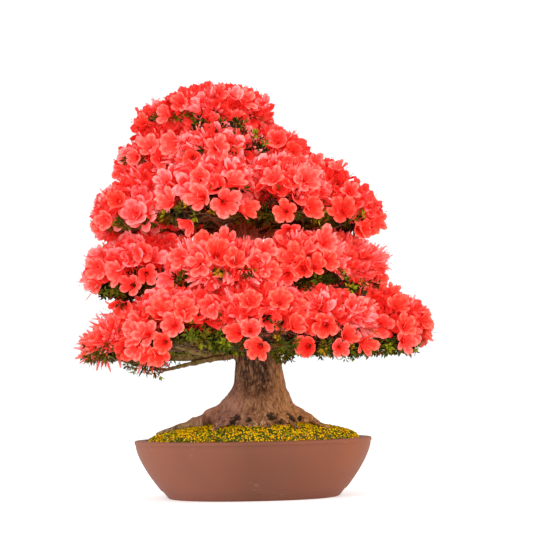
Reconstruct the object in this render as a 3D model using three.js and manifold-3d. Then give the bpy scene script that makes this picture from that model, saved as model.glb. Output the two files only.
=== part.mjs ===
// Azalea bonsai in full bloom, standing in an oval unglazed pot.
// Millimetres, +Z up, +X to the viewer's right, +Y away from the front of the tree.
// The origin is the middle of the flat underside of the pot.
//
// The tree is one thick trunk with a wide root flare, boughs that leave it in five tiers, and a clipped
// pad of twigs, leaves and blossom on each bough. Every bough and every pad is a solid of its own.
import * as THREE from "three";
import { mergeVertices } from "three/addons/utils/BufferGeometryUtils.js";
import Module from "manifold-3d";

const wasm = await Module();
wasm.setup();

// ---------------------------------------------------------------- driving dimensions

const CLEAR = 0.3; // gap between pieces that touch on the real tree
const FLATNESS = 0.1; // edges of a pad that bend less than this are taken out
const UP = new THREE.Vector3(0, 0, 1);
const GOLDEN_ANGLE = Math.PI * (3 - Math.sqrt(5));

const POT = {
  halfLength: 198.5,
  endToSide: 45, // the half depth is this much less than the half length, at every height
  height: 96,
  squareness: 2.25, // exponent of the oval: 2 is an ellipse
  rimWidth: 18,
  lipHeight: 6,
  lipOut: 1.2,
  footHeight: 13,
  footHalfLength: 142,
  footStep: 2,
  bodyHalfLength: 155, // where the body meets the foot
  bulge: 1.5, // exponent of the side's curve
  wall: 10,
  floor: 12,
  sides: 28,
};

const SOIL = {
  edgeHeight: 91, // where the moss meets the inside of the rim
  mound: 36,
  fullness: 0.6,
};

const TRUNK = {
  ground: 104, // the flat cut, inside the mound
  sides: 13,
  flareReach: 50,
  flareHeight: 52,
  flareFall: 1.5,
  ridges: 0.07, // how far the flutes stand out, as a share of the radius
  // Centre line and bare radius, without the flare.
  line: [
    { x: 7, y: 0, z: 104, r: 40 },
    { x: 10, y: 0, z: 180, r: 40 },
    { x: 12, y: 2, z: 240, r: 39.5 },
    { x: 10, y: 6, z: 305, r: 36 },
    { x: 0, y: 5, z: 375, r: 31 },
    { x: -9, y: 0, z: 445, r: 26 },
    { x: -24, y: 2, z: 510, r: 20 },
    { x: -42, y: 4, z: 575, r: 14 },
    { x: -54, y: 0, z: 640, r: 8 },
  ],
};

// Surface roots: heading in degrees from +X, length from the trunk's axis, and thickness at the trunk.
const ROOTS = [
  { heading: 181, reach: 158, thick: 24 },
  { heading: 222, reach: 104, thick: 21 },
  { heading: 262, reach: 92, thick: 20 },
  { heading: 300, reach: 96, thick: 21 },
  { heading: 352, reach: 132, thick: 24 },
  { heading: 38, reach: 108, thick: 22 },
  { heading: 88, reach: 98, thick: 20 },
  { heading: 136, reach: 112, thick: 22 },
];

const BLOOM = {
  radius: 36, // from the middle of the mouth to the tip of a lobe
  depth: 34, // from the mouth back to the stalk
  throat: 13,
  sunk: 16, // how far the stalk goes into the core
  tries: 46, // places tried on each pad; a flower that would touch another is left out
  notch: 0.7, // radius between two lobes, for open flowers
  strapNotch: 0.34, // and for flowers with narrow petals
};

const LEAF = { length: 34, width: 12, thick: 2.2, sunk: 5 };

// The pads, from the first tier to the top. x and y are a pad's middle, under its lowest level, and
// along, across and tall its full size: along points away from the trunk. slope is how much lower its
// top is at the far side, as a share. leaves is the height at which its bough leaves the trunk, and
// bough that bough's radius there. hem is how low its flowers reach: 1 is the top, 0 the widest level.
// straps is the share of its flowers with narrow petals.
const PADS = [
  // name, x, y, under, along, across, tall, slope, leaves, bough, hem, straps
  ["low_left", -140, -22, 232, 168, 160, 118, 0.1, 252, 13, 0.1, 0.2],
  ["low_left_tip", -232, -26, 220, 116, 136, 88, 0.4, 236, 8, -0.1, 0.8],
  ["low_front_left", -112, -148, 228, 148, 176, 116, 0.1, 268, 9, 0.3, 0.3],
  ["low_front", 12, -158, 230, 156, 182, 116, 0.1, 250, 10, 0, 0.2],
  ["low_front_right", 130, -122, 231, 142, 160, 116, 0.1, 272, 10, -0.1, 0.4],
  ["low_right", 204, 8, 234, 216, 160, 118, 0.15, 256, 12, 0, 0.1],
  ["low_back_right", 138, 138, 234, 150, 148, 117, 0.1, 270, 9, 0, 0.3],
  ["low_back", 8, 166, 232, 150, 158, 119, 0.1, 254, 10, 0, 0.3],
  ["low_back_left", -128, 128, 234, 156, 148, 117, 0.1, 272, 10, 0, 0.3],
  ["mid_left", -184, -12, 336, 206, 156, 114, 0.25, 345, 11, 0, 0.2],
  ["mid_front", -44, -138, 334, 144, 190, 86, 0.1, 352, 9, 0, 0.7],
  ["mid_front_right", 92, -104, 334, 140, 158, 100, 0.1, 338, 9, 0.1, 0.2],
  ["mid_right", 151, 18, 338, 180, 140, 110, 0.2, 356, 11, 0.1, 0.9],
  ["mid_back_right", 72, 136, 340, 144, 160, 108, 0.1, 340, 9, 0, 0.4],
  ["mid_back_left", -88, 124, 342, 150, 166, 108, 0.1, 362, 9, 0, 0.4],
  ["high_left", -174, -8, 434, 198, 156, 136, 0.4, 446, 12, -0.15, 0.1],
  ["high_front", -66, -112, 438, 136, 178, 126, 0.1, 462, 9, 0.15, 0.1],
  ["high_front_right", 62, -92, 440, 136, 160, 122, 0.1, 448, 8, 0.1, 0.1],
  ["high_right", 142, 14, 438, 188, 144, 136, 0.6, 432, 10, -0.05, 0.2],
  ["high_back", -18, 112, 448, 136, 180, 124, 0.1, 458, 9, 0, 0.3],
  ["crown_left", -148, 0, 552, 160, 140, 84, 0.45, 538, 7, -0.05, 0.4],
  ["crown_front", -52, -84, 545, 116, 160, 72, 0.1, 552, 6, 0.1, 0.7],
  ["crown_right", 44, 0, 542, 146, 140, 94, 0.4, 532, 7, 0, 0.2],
  ["crown_back", -48, 84, 550, 116, 146, 84, 0.1, 560, 6, 0, 0.4],
  ["apex", -76, 0, 620, 246, 184, 84, 0.6, null, 8, 0.1, 0.5],
];

// The slender limb under the lower left hangs in a long curve before it rises into its pad.
const HANGING_LIMB = {
  pad: "low_left_tip",
  through: [
    new THREE.Vector3(-66, -22, 230),
    new THREE.Vector3(-122, -24, 218),
    new THREE.Vector3(-160, -26, 212),
  ],
};

const PAD = {
  belly: 0.22, // share of a pad's height that lies below its widest level
  fullness: 0.7, // exponent of the dome: under 1 is fuller than an ellipsoid
  coreInset: 18, // how far the core lies inside the flowers
  coreBellyInset: 8,
  coreSides: 7,
  coreLatitudes: [-42, 5, 54],
  unevenness: 0.15, // as a share of the inset
  ribs: 2,
  ribRadius: 3.2,
  edgeLeaves: 4,
};

const BOUGH = { sides: 5, steps: 4, tip: 0.55, sway: 0.1 };

const COLOURS = {
  clay: 0x93573f,
  moss: 0x9c8a1e,
  bark: 0x6d4a37,
  blossom: 0xf0463c,
};

// ---------------------------------------------------------------- small helpers

// A seeded source of numbers from 0 to 1, so that the tree is the same each time.
function seeded(seed) {
  let state = seed >>> 0;
  return () => {
    state = (state + 0x6d2b79f5) >>> 0;
    let t = Math.imul(state ^ (state >>> 15), state | 1);
    t ^= t + Math.imul(t ^ (t >>> 7), t | 61);
    return ((t ^ (t >>> 14)) >>> 0) / 4294967296;
  };
}

const radians = (degrees) => (degrees * Math.PI) / 180;
const mix = (a, b, t) => a + (b - a) * t;

// A closed body through rings that all have the same number of points, counter-clockwise round the
// way they are stacked. Both ends are closed to the middle of their ring.
function loft(rings) {
  const sides = rings[0].length;
  const middle = (ring) => ring.reduce((sum, p) => sum.add(p), new THREE.Vector3()).divideScalar(sides);
  const points = [...rings.flat(), middle(rings[0]), middle(rings.at(-1))];
  const first = points.length - 2;
  const last = points.length - 1;
  const faces = [];
  for (let i = 0; i < sides; i++) {
    const j = (i + 1) % sides;
    for (let level = 0; level < rings.length - 1; level++) {
      const below = level * sides;
      const above = below + sides;
      faces.push(below + i, below + j, above + j, below + i, above + j, above + i);
    }
    const top = (rings.length - 1) * sides;
    faces.push(first, j, i, last, top + i, top + j);
  }
  const geometry = new THREE.BufferGeometry().setFromPoints(points);
  geometry.setIndex(faces);
  return geometry;
}

// The solid that a closed geometry bounds.
function solid(geometry) {
  const bare = geometry.index ? geometry : mergeVertices(geometry);
  return new wasm.Manifold(
    new wasm.Mesh({
      numProp: 3,
      vertProperties: new Float32Array(bare.attributes.position.array),
      triVerts: new Uint32Array(bare.index.array),
    }),
  );
}

const fuse = (solids) => solids.reduce((sum, next) => sum.add(next));
const largest = (body) => body.decompose().reduce((a, b) => (a.volume() > b.volume() ? a : b));

function boxOf(body) {
  const { min, max } = body.boundingBox();
  return new THREE.Box3(new THREE.Vector3(...min), new THREE.Vector3(...max));
}

const near = (body, others) => others.filter((other) => boxOf(other).intersectsBox(boxOf(body)));
const cut = (body, tools) => near(body, tools).reduce((left, tool) => left.subtract(tool), body);

function touches(body, others) {
  return near(body, others).some((other) => {
    const shared = body.intersect(other);
    const found = !shared.isEmpty();
    shared.delete();
    return found;
  });
}

// A named mesh of the scene, from a finished solid.
function piece(name, body, colour, roughness) {
  const { vertProperties, triVerts } = body.getMesh();
  const geometry = new THREE.BufferGeometry();
  geometry.setAttribute("position", new THREE.BufferAttribute(new Float32Array(vertProperties), 3));
  geometry.setIndex(new THREE.BufferAttribute(new Uint32Array(triVerts), 1));
  const look = { color: colour, roughness, metalness: 0, flatShading: true };
  const mesh = new THREE.Mesh(geometry, new THREE.MeshStandardMaterial(look));
  mesh.name = name;
  return mesh;
}

// Two directions square to a way and to each other.
function crosswise(way) {
  const aside = Math.abs(way.z) < 0.9 ? UP : new THREE.Vector3(1, 0, 0);
  const across = new THREE.Vector3().crossVectors(way, aside).normalize();
  return [across, new THREE.Vector3().crossVectors(way, across)];
}

// A tapering limb along a curve: radius(t) is its radius from t = 0 at the foot to t = 1 at the tip.
// With some extra, it is the same limb that much thicker and longer, to cut its neighbours clear.
function limb(curve, radius, sides, steps, extra = 0) {
  const rings = [];
  for (let step = 0; step <= steps; step++) {
    const t = step / steps;
    const along = curve.getTangentAt(t);
    const centre = curve.getPointAt(t);
    if (step === steps) centre.addScaledVector(along, extra);
    const [across, over] = crosswise(along);
    rings.push(
      Array.from({ length: sides }, (_, side) => {
        const turn = (side / sides) * 2 * Math.PI;
        const reach = radius(t) + extra;
        return centre
          .clone()
          .addScaledVector(across, Math.cos(turn) * reach)
          .addScaledVector(over, Math.sin(turn) * reach);
      }),
    );
  }
  return solid(loft(rings));
}

// ---------------------------------------------------------------- pot and soil

// One level of the oval, at a height.
function oval(halfLength, z) {
  const halfDepth = halfLength - POT.endToSide;
  const power = 2 / POT.squareness;
  return Array.from({ length: POT.sides }, (_, side) => {
    const turn = (side / POT.sides) * 2 * Math.PI;
    const [c, s] = [Math.cos(turn), Math.sin(turn)];
    const x = halfLength * Math.sign(c) * Math.abs(c) ** power;
    const y = halfDepth * Math.sign(s) * Math.abs(s) ** power;
    return new THREE.Vector3(x, y, z);
  });
}

// Half length of the pot's outside at a height above the foot.
function potSide(z) {
  const top = POT.halfLength - POT.lipOut;
  const share = (z - POT.footHeight) / (POT.height - POT.lipHeight - POT.footHeight);
  return mix(POT.bodyHalfLength, top, 1 - (1 - Math.min(share, 1)) ** POT.bulge);
}

// Levels of the hollow, from the inner edge of the rim down to the floor, each moved in by a gap.
function hollow(gap, top) {
  const rimInside = POT.halfLength - POT.rimWidth;
  const underRim = POT.height - 2 * POT.lipHeight;
  const levels = [[rimInside, top], [rimInside, underRim]];
  for (const z of [46, POT.floor]) levels.push([potSide(z) - POT.wall, z]);
  return levels.map(([half, z]) => oval(half - gap, z === POT.floor ? z + gap : z));
}

function makePot() {
  const lipFoot = POT.height - POT.lipHeight;
  const outside = [
    oval(POT.footHalfLength, 0),
    oval(POT.bodyHalfLength - POT.footStep, POT.footHeight - 1),
    oval(POT.bodyHalfLength, POT.footHeight),
    ...[30, 56].map((z) => oval(potSide(z), z)),
    oval(potSide(lipFoot), lipFoot),
    oval(POT.halfLength, lipFoot + 1),
    oval(POT.halfLength, POT.height),
  ];
  return solid(loft([...outside, ...hollow(0, POT.height)]));
}

// Height of the moss over a point of the oval, where share is 0 in the middle and 1 at the rim.
const mossHeight = (share) => SOIL.edgeHeight + SOIL.mound * (1 - share * share) ** SOIL.fullness;

function makeSoil() {
  const inside = POT.halfLength - POT.rimWidth - CLEAR;
  const sides = hollow(CLEAR, SOIL.edgeHeight).reverse();
  const mound = [0.86, 0.5].map((share) => {
    const ring = oval(inside, mossHeight(share));
    return ring.map((p) => new THREE.Vector3(p.x * share, p.y * share, p.z));
  });
  return solid(loft([...sides, ...mound]));
}

// ---------------------------------------------------------------- trunk

const trunkLine = new THREE.CatmullRomCurve3(TRUNK.line.map((p) => new THREE.Vector3(p.x, p.y, p.z)));

// Centre and bare radius of the trunk at a height.
function trunkAt(z) {
  const found = TRUNK.line.findIndex((p) => p.z >= z);
  const i = Math.min(Math.max(found < 0 ? TRUNK.line.length - 1 : found, 1), TRUNK.line.length - 1);
  const [low, high] = [TRUNK.line[i - 1], TRUNK.line[i]];
  const t = (z - low.z) / (high.z - low.z);
  const centre = trunkLine.getPoint((i - 1 + t) / (TRUNK.line.length - 1));
  return { centre: centre.setZ(z), radius: mix(low.r, high.r, t) };
}

function makeTrunk(extra = 0) {
  const tip = TRUNK.line.at(-1).z + extra;
  const heights = [104, 124, 146, 168, 196, 236, 290, 350, 420, 500, 570, tip];
  const body = heights.map((z) => {
    const { centre, radius } = trunkAt(Math.min(z, TRUNK.line.at(-1).z));
    const flare = TRUNK.flareReach * Math.exp(-(((z - TRUNK.ground) / TRUNK.flareHeight) ** TRUNK.flareFall));
    return Array.from({ length: TRUNK.sides }, (_, side) => {
      const turn = (side / TRUNK.sides) * 2 * Math.PI;
      const flute = 1 + TRUNK.ridges * Math.sin(5 * turn + z / 60) * Math.exp(-(z - TRUNK.ground) / 200);
      const reach = (radius + flare) * flute + extra;
      return new THREE.Vector3(centre.x + Math.cos(turn) * reach, centre.y + Math.sin(turn) * reach, z);
    });
  });
  const roots = ROOTS.map(({ heading, reach, thick }) => {
    const way = new THREE.Vector3(Math.cos(radians(heading)), Math.sin(radians(heading)), 0);
    const { centre } = trunkAt(TRUNK.ground);
    const at = (out, z) => centre.clone().addScaledVector(way, out).setZ(z);
    const curve = new THREE.CatmullRomCurve3([
      at(14, 180),
      at(46, 149),
      at(mix(46, reach, 0.45), 129),
      at(reach * 0.86, 112),
      at(reach, 102),
    ]);
    return limb(curve, (t) => mix(thick, 7, t ** 0.8), 6, 4, extra);
  });
  const whole = fuse([solid(loft(body)), ...roots]);
  return whole.trimByPlane([0, 0, 1], TRUNK.ground - extra);
}

// ---------------------------------------------------------------- pads

// A pad from its row of the table, with its own frame: out points away from the trunk, side across it.
function placePad([name, x, y, under, along, across, tall, slope, leaves, bough, hem, straps]) {
  const pad = { name, x, y, under, along, across, tall, slope, leaves, bough, hem, straps };
  const { centre: foot } = trunkAt(pad.leaves ?? pad.under);
  const widest = new THREE.Vector3(pad.x, pad.y, pad.under + PAD.belly * pad.tall);
  const out = widest.clone().sub(foot).setZ(0).normalize();
  if (pad.leaves === null) out.set(-1, 0, 0);
  const side = new THREE.Vector3().crossVectors(UP, out);
  return { ...pad, foot, widest, out, side };
}

// A point on a pad's dome, drawn in by inset and bellyInset. Longitude and latitude are in radians.
function onDome(pad, longitude, latitude, inset = 0, bellyInset = inset) {
  const ring = Math.cos(latitude) ** PAD.fullness;
  const height = Math.sign(latitude) * Math.abs(Math.sin(latitude)) ** PAD.fullness;
  const outward = Math.max(0, Math.cos(longitude)) * ring;
  const top = ((1 - PAD.belly) * pad.tall - inset) * (1 - pad.slope * outward);
  const rise = height > 0 ? top : PAD.belly * pad.tall - bellyInset;
  return pad.widest
    .clone()
    .addScaledVector(pad.out, Math.cos(longitude) * ring * (pad.along / 2 - inset))
    .addScaledVector(pad.side, Math.sin(longitude) * ring * (pad.across / 2 - inset))
    .addScaledVector(UP, height * rise);
}

// The dense inside of a clipped pad. Its surface is uneven by a rule of its own, the same each time.
function makeCore(pad, extra = 0) {
  const rings = PAD.coreLatitudes.map((latitude, level) =>
    Array.from({ length: PAD.coreSides }, (_, side) => {
      const uneven = 1 + PAD.unevenness * Math.sin(3 * side + 2 * level + pad.x);
      const longitude = (side / PAD.coreSides) * 2 * Math.PI;
      const inset = PAD.coreInset * uneven - extra;
      return onDome(pad, longitude, radians(latitude), inset, PAD.coreBellyInset - extra);
    }),
  );
  return solid(loft(rings));
}

// The stem starts just past the bough's tip and runs out along the underside of the pad.
function stemLine(pad) {
  const start = pad.widest.clone().addScaledVector(pad.out, -(pad.along / 2 - PAD.coreInset + 8));
  start.z = pad.under + 0.3 * PAD.belly * pad.tall;
  const end = pad.widest.clone().addScaledVector(pad.out, pad.along / 2 - PAD.coreInset - 6);
  end.z = pad.under + 0.75 * PAD.belly * pad.tall;
  if (pad.leaves === null) start.copy(trunkAt(TRUNK.line.at(-1).z).centre).setZ(TRUNK.line.at(-1).z + CLEAR);
  return [start, end];
}

// Twigs that branch left and right from the stem, out to the edge of the pad.
function makeTwigs(pad, random) {
  const [start, end] = stemLine(pad);
  const thick = pad.bough * BOUGH.tip;
  const middle = start.clone().lerp(end, 0.5);
  if (pad.leaves === null) middle.set(start.x, start.y, start.z + 26);
  const line = new THREE.CatmullRomCurve3([start, middle, end]);
  const twigs = [limb(line, (t) => mix(thick, PAD.ribRadius, t), 4, 2)];
  for (let rib = 0; rib < PAD.ribs; rib++) {
    const share = (rib + 0.6) / PAD.ribs;
    const hand = rib % 2 ? 1 : -1;
    const from = line.getPointAt(share * 0.8);
    const longitude = hand * mix(2.2, 0.35, share) + (random() - 0.5) * 0.3;
    const to = onDome(pad, longitude, radians(-14), PAD.coreInset - 8, 4);
    twigs.push(limb(new THREE.LineCurve3(from, to), (t) => mix(PAD.ribRadius, 1.4, t), 3, 1));
  }
  return twigs;
}

// A trumpet with five lobes, or with five straps where the notches between them are deep.
function makeBloom(foot, way, spin, size, notch) {
  const [across, over] = crosswise(way);
  const on = (turn, reach, depth) =>
    foot
      .clone()
      .addScaledVector(way, BLOOM.depth - depth)
      .addScaledVector(across, Math.cos(turn) * reach)
      .addScaledVector(over, Math.sin(turn) * reach);
  // A notch lies in the flat back between two lobes.
  const notchDepth = BLOOM.depth * (1 - notch / Math.cos(Math.PI / 5));
  const rim = Array.from({ length: 10 }, (_, i) => {
    const reach = BLOOM.radius * size * (i % 2 ? notch : 1);
    return on(spin + (i / 10) * 2 * Math.PI, reach, i % 2 ? notchDepth : 0);
  });
  const points = [...rim, foot, on(0, 0, BLOOM.throat)];
  const faces = [];
  for (let i = 0; i < 10; i++) {
    const j = (i + 1) % 10;
    faces.push(10, j, i, 11, i, j);
  }
  const geometry = new THREE.BufferGeometry().setFromPoints(points);
  geometry.setIndex(faces);
  return solid(geometry);
}

// A leaf of eight faces, pointed at both ends and widest in the middle.
function makeLeaf(foot, way, face) {
  const side = new THREE.Vector3().crossVectors(way, face).normalize();
  const over = new THREE.Vector3().crossVectors(side, way);
  const middle = foot.clone().addScaledVector(way, LEAF.length * 0.55);
  const points = [
    foot,
    foot.clone().addScaledVector(way, LEAF.length),
    middle.clone().addScaledVector(side, LEAF.width / 2),
    middle.clone().addScaledVector(side, -LEAF.width / 2),
    middle.clone().addScaledVector(over, LEAF.thick / 2),
    middle.clone().addScaledVector(over, -LEAF.thick / 2),
  ];
  const geometry = new THREE.BufferGeometry().setFromPoints(points);
  geometry.setIndex([0, 2, 4, 0, 4, 3, 0, 5, 2, 0, 3, 5, 1, 4, 2, 1, 3, 4, 1, 2, 5, 1, 5, 3]);
  return solid(geometry);
}

// Places tried for flowers on a pad: a spiral of even steps from the top of the dome down to its hem.
// The low places that face the trunk are left out, because nothing is seen or can open there.
function bloomPlaces(pad) {
  const places = [];
  for (let i = 0; i < BLOOM.tries; i++) {
    const rise = mix(0.995, pad.hem, i / (BLOOM.tries - 1));
    const longitude = i * GOLDEN_ANGLE;
    const inward = Math.cos(longitude) < -0.35 && rise < 0.9 && pad.leaves !== null;
    if (!inward) places.push([longitude, Math.asin(rise)]);
  }
  return places;
}

// The blossom and leaves of a pad that stay clear of everything in others.
function makeSpray(pad, others, random) {
  const spray = [];
  const keep = (body) => {
    if (!touches(body, [...others, ...spray])) spray.push(body);
  };
  for (const [longitude, latitude] of bloomPlaces(pad)) {
    const skin = onDome(pad, longitude, latitude, PAD.coreInset, PAD.coreBellyInset);
    const outer = onDome(pad, longitude, latitude);
    const way = outer.sub(skin).normalize();
    const shake = new THREE.Vector3(random() - 0.5, random() - 0.5, random() - 0.5);
    way.addScaledVector(shake, 0.35).normalize();
    const foot = skin.clone().addScaledVector(way, -BLOOM.sunk);
    const notch = random() < pad.straps ? BLOOM.strapNotch : BLOOM.notch;
    keep(makeBloom(foot, way, random() * Math.PI, mix(0.9, 1.06, random()), notch));
  }
  for (let i = 0; i < PAD.edgeLeaves; i++) {
    const longitude = ((i + random() * 0.6) / PAD.edgeLeaves) * 2 * Math.PI;
    const skin = onDome(pad, longitude, radians(-40), PAD.coreInset, PAD.coreBellyInset);
    const way = skin.clone().sub(pad.widest).setZ(0).normalize();
    way.z = mix(-0.9, -0.5, random());
    way.normalize();
    keep(makeLeaf(skin.addScaledVector(way, -LEAF.sunk), way, UP));
  }
  return spray;
}

// ---------------------------------------------------------------- boughs

// A bough leaves the trunk, sways a little and ends just short of its pad's stem.
function boughLine(pad, random) {
  const [stem, far] = stemLine(pad);
  const heading = far.clone().sub(stem).normalize();
  const tip = stem.clone().addScaledVector(heading, -CLEAR);
  const before = tip.clone().addScaledVector(heading, -12);
  if (pad.name === HANGING_LIMB.pad) {
    return new THREE.CatmullRomCurve3([pad.foot, ...HANGING_LIMB.through, before, tip]);
  }
  const reach = before.distanceTo(pad.foot);
  const middle = pad.foot.clone().lerp(before, 0.5);
  middle.addScaledVector(pad.side, (random() - 0.5) * 2 * BOUGH.sway * reach);
  middle.z += (random() - 0.3) * BOUGH.sway * reach;
  return new THREE.CatmullRomCurve3([pad.foot, middle, before, tip]);
}

function makeBough(pad, line, extra = 0) {
  const steps = pad.name === HANGING_LIMB.pad ? 9 : BOUGH.steps;
  return limb(line, (t) => mix(pad.bough, pad.bough * BOUGH.tip, t ** 0.7), BOUGH.sides, steps, extra);
}

// ---------------------------------------------------------------- the whole tree

const tree = new THREE.Group();
tree.name = "azalea_bonsai";

const trunk = makeTrunk();
const trunkRoom = makeTrunk(CLEAR);
tree.add(piece("pot", makePot(), COLOURS.clay, 0.8));
tree.add(piece("moss_soil", largest(makeSoil().subtract(trunkRoom)), COLOURS.moss, 0.95));
tree.add(piece("trunk", trunk, COLOURS.bark, 0.9));

const random = seeded(20);
const pads = PADS.map(placePad);

const boughs = [];
const boughRooms = [];
for (const pad of pads) {
  if (pad.leaves === null) continue;
  const line = boughLine(pad, random);
  const bough = largest(cut(makeBough(pad, line), [trunkRoom, ...boughRooms]));
  boughs.push(bough);
  boughRooms.push(makeBough(pad, line, CLEAR));
  tree.add(piece("bough_" + pad.name, bough, COLOURS.bark, 0.9));
}

// Each core is cut clear of the limbs and of the cores before it, and then gets its twigs and spray.
const limbRoom = fuse([makeTrunk(1), ...boughRooms]);
const coreRooms = [];
const masses = pads.map((pad) => {
  const core = largest(cut(makeCore(pad), [limbRoom, ...coreRooms]));
  coreRooms.push(makeCore(pad, 1));
  return { pad, core, twigs: makeTwigs(pad, random) };
});
const finished = [];
masses.forEach(({ pad, twigs, core }, index) => {
  const laterCores = masses.slice(index + 1).map((later) => later.core);
  const others = [trunkRoom, ...boughRooms, ...finished, ...laterCores];
  const [stem, ...ribs] = twigs;
  const clearTwigs = [cut(stem, others), ...ribs.filter((rib) => !touches(rib, others))];
  const body = fuse([core, ...clearTwigs, ...makeSpray(pad, others, random)]);
  const mass = largest(body).simplify(FLATNESS);
  finished.push(mass);
  tree.add(piece("pad_" + pad.name, mass, COLOURS.blossom, 0.75));
});

export default tree;
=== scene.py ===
# %% [markdown]
# # An azalea bonsai in bloom
#
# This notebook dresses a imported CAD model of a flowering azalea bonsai. The CAD gives the pot, the moss,
# the trunk with its boughs, and one plain mass for each clipped pad of foliage. Here every plain mass
# becomes what it stands for: twigs, leaves and a few thousand flowers, grown by the same rule that placed
# the masses. Everything is in metres, in the CAD's own frame, with the origin under the middle of the pot.

# %% Load the frame
import math
import random

import bmesh
import bpy
import numpy as np
from mathutils import Matrix, Quaternion, Vector, noise


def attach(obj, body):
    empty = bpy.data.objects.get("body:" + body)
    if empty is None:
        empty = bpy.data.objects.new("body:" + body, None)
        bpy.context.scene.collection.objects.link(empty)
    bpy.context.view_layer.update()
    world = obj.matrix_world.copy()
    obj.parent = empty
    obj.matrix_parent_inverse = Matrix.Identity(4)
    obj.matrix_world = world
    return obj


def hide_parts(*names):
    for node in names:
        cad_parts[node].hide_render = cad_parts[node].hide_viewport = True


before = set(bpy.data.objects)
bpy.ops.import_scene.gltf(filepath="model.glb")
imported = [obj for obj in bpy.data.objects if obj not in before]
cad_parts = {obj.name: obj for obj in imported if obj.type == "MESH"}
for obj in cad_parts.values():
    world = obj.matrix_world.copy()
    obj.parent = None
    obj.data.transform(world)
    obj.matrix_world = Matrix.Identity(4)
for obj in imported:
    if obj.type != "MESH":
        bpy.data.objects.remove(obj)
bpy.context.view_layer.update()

MM = 0.001
UP = Vector((0, 0, 1))
GOLDEN_ANGLE = math.pi * (3 - math.sqrt(5))

# %% [markdown]
# ## Small helpers
#
# A material or a Geometry Nodes tree is a list of nodes with settings and links. Blender's own calls for
# that are long, so one function adds a node, sets its properties and fills its inputs, either with a plain
# value or with the output of another node. Colours are written as the hex values that a paint chart would
# give. Those are sRGB, and the renderer wants linear light, so one function converts them.

# %% Helpers for nodes, colours and meshes
def add(tree, kind, inputs=None, **settings):
    """Adds a node. inputs maps a socket's name or number to a value or to another node's output."""
    node = tree.nodes.new(kind)
    for name, value in settings.items():
        setattr(node, name, value)
    for socket, value in (inputs or {}).items():
        target = node.inputs[socket]
        if isinstance(value, bpy.types.NodeSocket):
            tree.links.new(value, target)
        else:
            target.default_value = value
    return node


def linear(hex_colour):
    """The linear RGBA of an sRGB hex colour such as "a0643f"."""
    def channel(text):
        share = int(text, 16) / 255
        return share / 12.92 if share <= 0.04045 else ((share + 0.055) / 1.055) ** 2.4
    return (*(channel(hex_colour[i:i + 2]) for i in (0, 2, 4)), 1.0)


def mix(a, b, t):
    return a + (b - a) * t


def new_material(name, roughness, **more):
    """A material with one Principled shader, and that shader. more names sockets, with _ for a space."""
    material = bpy.data.materials.new(name)
    material.use_nodes = True
    shader = material.node_tree.nodes["Principled BSDF"]
    for socket, value in {"Roughness": roughness, "IOR": 1.45, **more}.items():
        shader.inputs[socket.replace("_", " ")].default_value = value
    return material, shader


def plain(name, hex_colour, roughness=0.9, **more):
    """A material of one colour."""
    return new_material(name, roughness, Base_Color=linear(hex_colour), **more)[0]


def new_object(name, mesh):
    piece = bpy.data.objects.new(name, mesh)
    bpy.context.collection.objects.link(piece)
    return piece


def mesh_from(name, points, faces, smooth=True):
    """A mesh from points in metres and faces as lists of indices."""
    mesh = bpy.data.meshes.new(name)
    mesh.from_pydata([tuple(p) for p in points], [], faces)
    mesh.polygons.foreach_set("use_smooth", [smooth] * len(mesh.polygons))
    return mesh


def triangles(mesh):
    return sum(len(polygon.vertices) - 2 for polygon in mesh.polygons)


# %% [markdown]
# ## Camera
#
# The tree is seen from two metres away through a long lens, a little above the rim of the pot, with the
# camera tipped up towards the crown. A long lens keeps the pot's rim a thin ellipse. The focal length in
# pixels times the sensor's width, over the picture's width in pixels, gives the lens in millimetres. The
# camera's axes are written as a matrix, since a tilt and a small roll are easier to read that way.

# %% Camera
PICTURE = 533  # pixels, square
FOCAL = 1180  # pixels
SENSOR = 36  # millimetres
HORIZON = 395  # pixels down from the top
EYE = Vector((28.2, -2006, 168)) * MM
TILT = math.atan((HORIZON - PICTURE / 2) / FOCAL)
ROLL = math.radians(1.15)

ahead = Vector((0, math.cos(TILT), math.sin(TILT)))
upright = Vector((0, -math.sin(TILT), math.cos(TILT)))
right = Vector((1, 0, 0))
camera_right = right * math.cos(ROLL) - upright * math.sin(ROLL)
camera_up = upright * math.cos(ROLL) + right * math.sin(ROLL)

camera_data = bpy.data.cameras.new("camera")
camera_data.sensor_width = SENSOR
camera_data.lens = FOCAL / PICTURE * SENSOR
camera_data.clip_start = 0.05
camera = new_object("camera", camera_data)
camera.matrix_world = Matrix((
    (camera_right.x, camera_up.x, -ahead.x, EYE.x),
    (camera_right.y, camera_up.y, -ahead.y, EYE.y),
    (camera_right.z, camera_up.z, -ahead.z, EYE.z),
    (0, 0, 0, 1),
))
bpy.context.scene.camera = camera
print("lens:", round(camera_data.lens, 1), "mm")

# %% [markdown]
# ## Studio light and floor
#
# The tree stands in a bright white studio. A white world lights it evenly from every side, so no crevice
# of the crown goes black, and two large soft lamps in front give the petals their shape. The floor is one
# pale sheet. It glows a little, which keeps it as bright as the wall of light behind it.

# %% Light
WORLD_STRENGTH = 1.05
# place and aim in metres, width, watts
LAMPS = {"lamp_front_left": ((-1.3, -1.9, 1.7), (0, 0, 0.35), 1.0, 26),
         "lamp_front_right": ((1.6, -1.2, 1.3), (0, 0, 0.3), 0.8, 16)}
FLOOR = [(-8, -4, 0), (8, -4, 0), (8, 14, 0), (-8, 14, 0)]

scene = bpy.context.scene
scene.view_settings.view_transform = "Standard"
scene.view_settings.look = "None"
world = bpy.data.worlds.new("studio")
world.use_nodes = True
background = world.node_tree.nodes["Background"].inputs
background["Color"].default_value = (1, 1, 1, 1)
background["Strength"].default_value = WORLD_STRENGTH
scene.world = world

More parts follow.
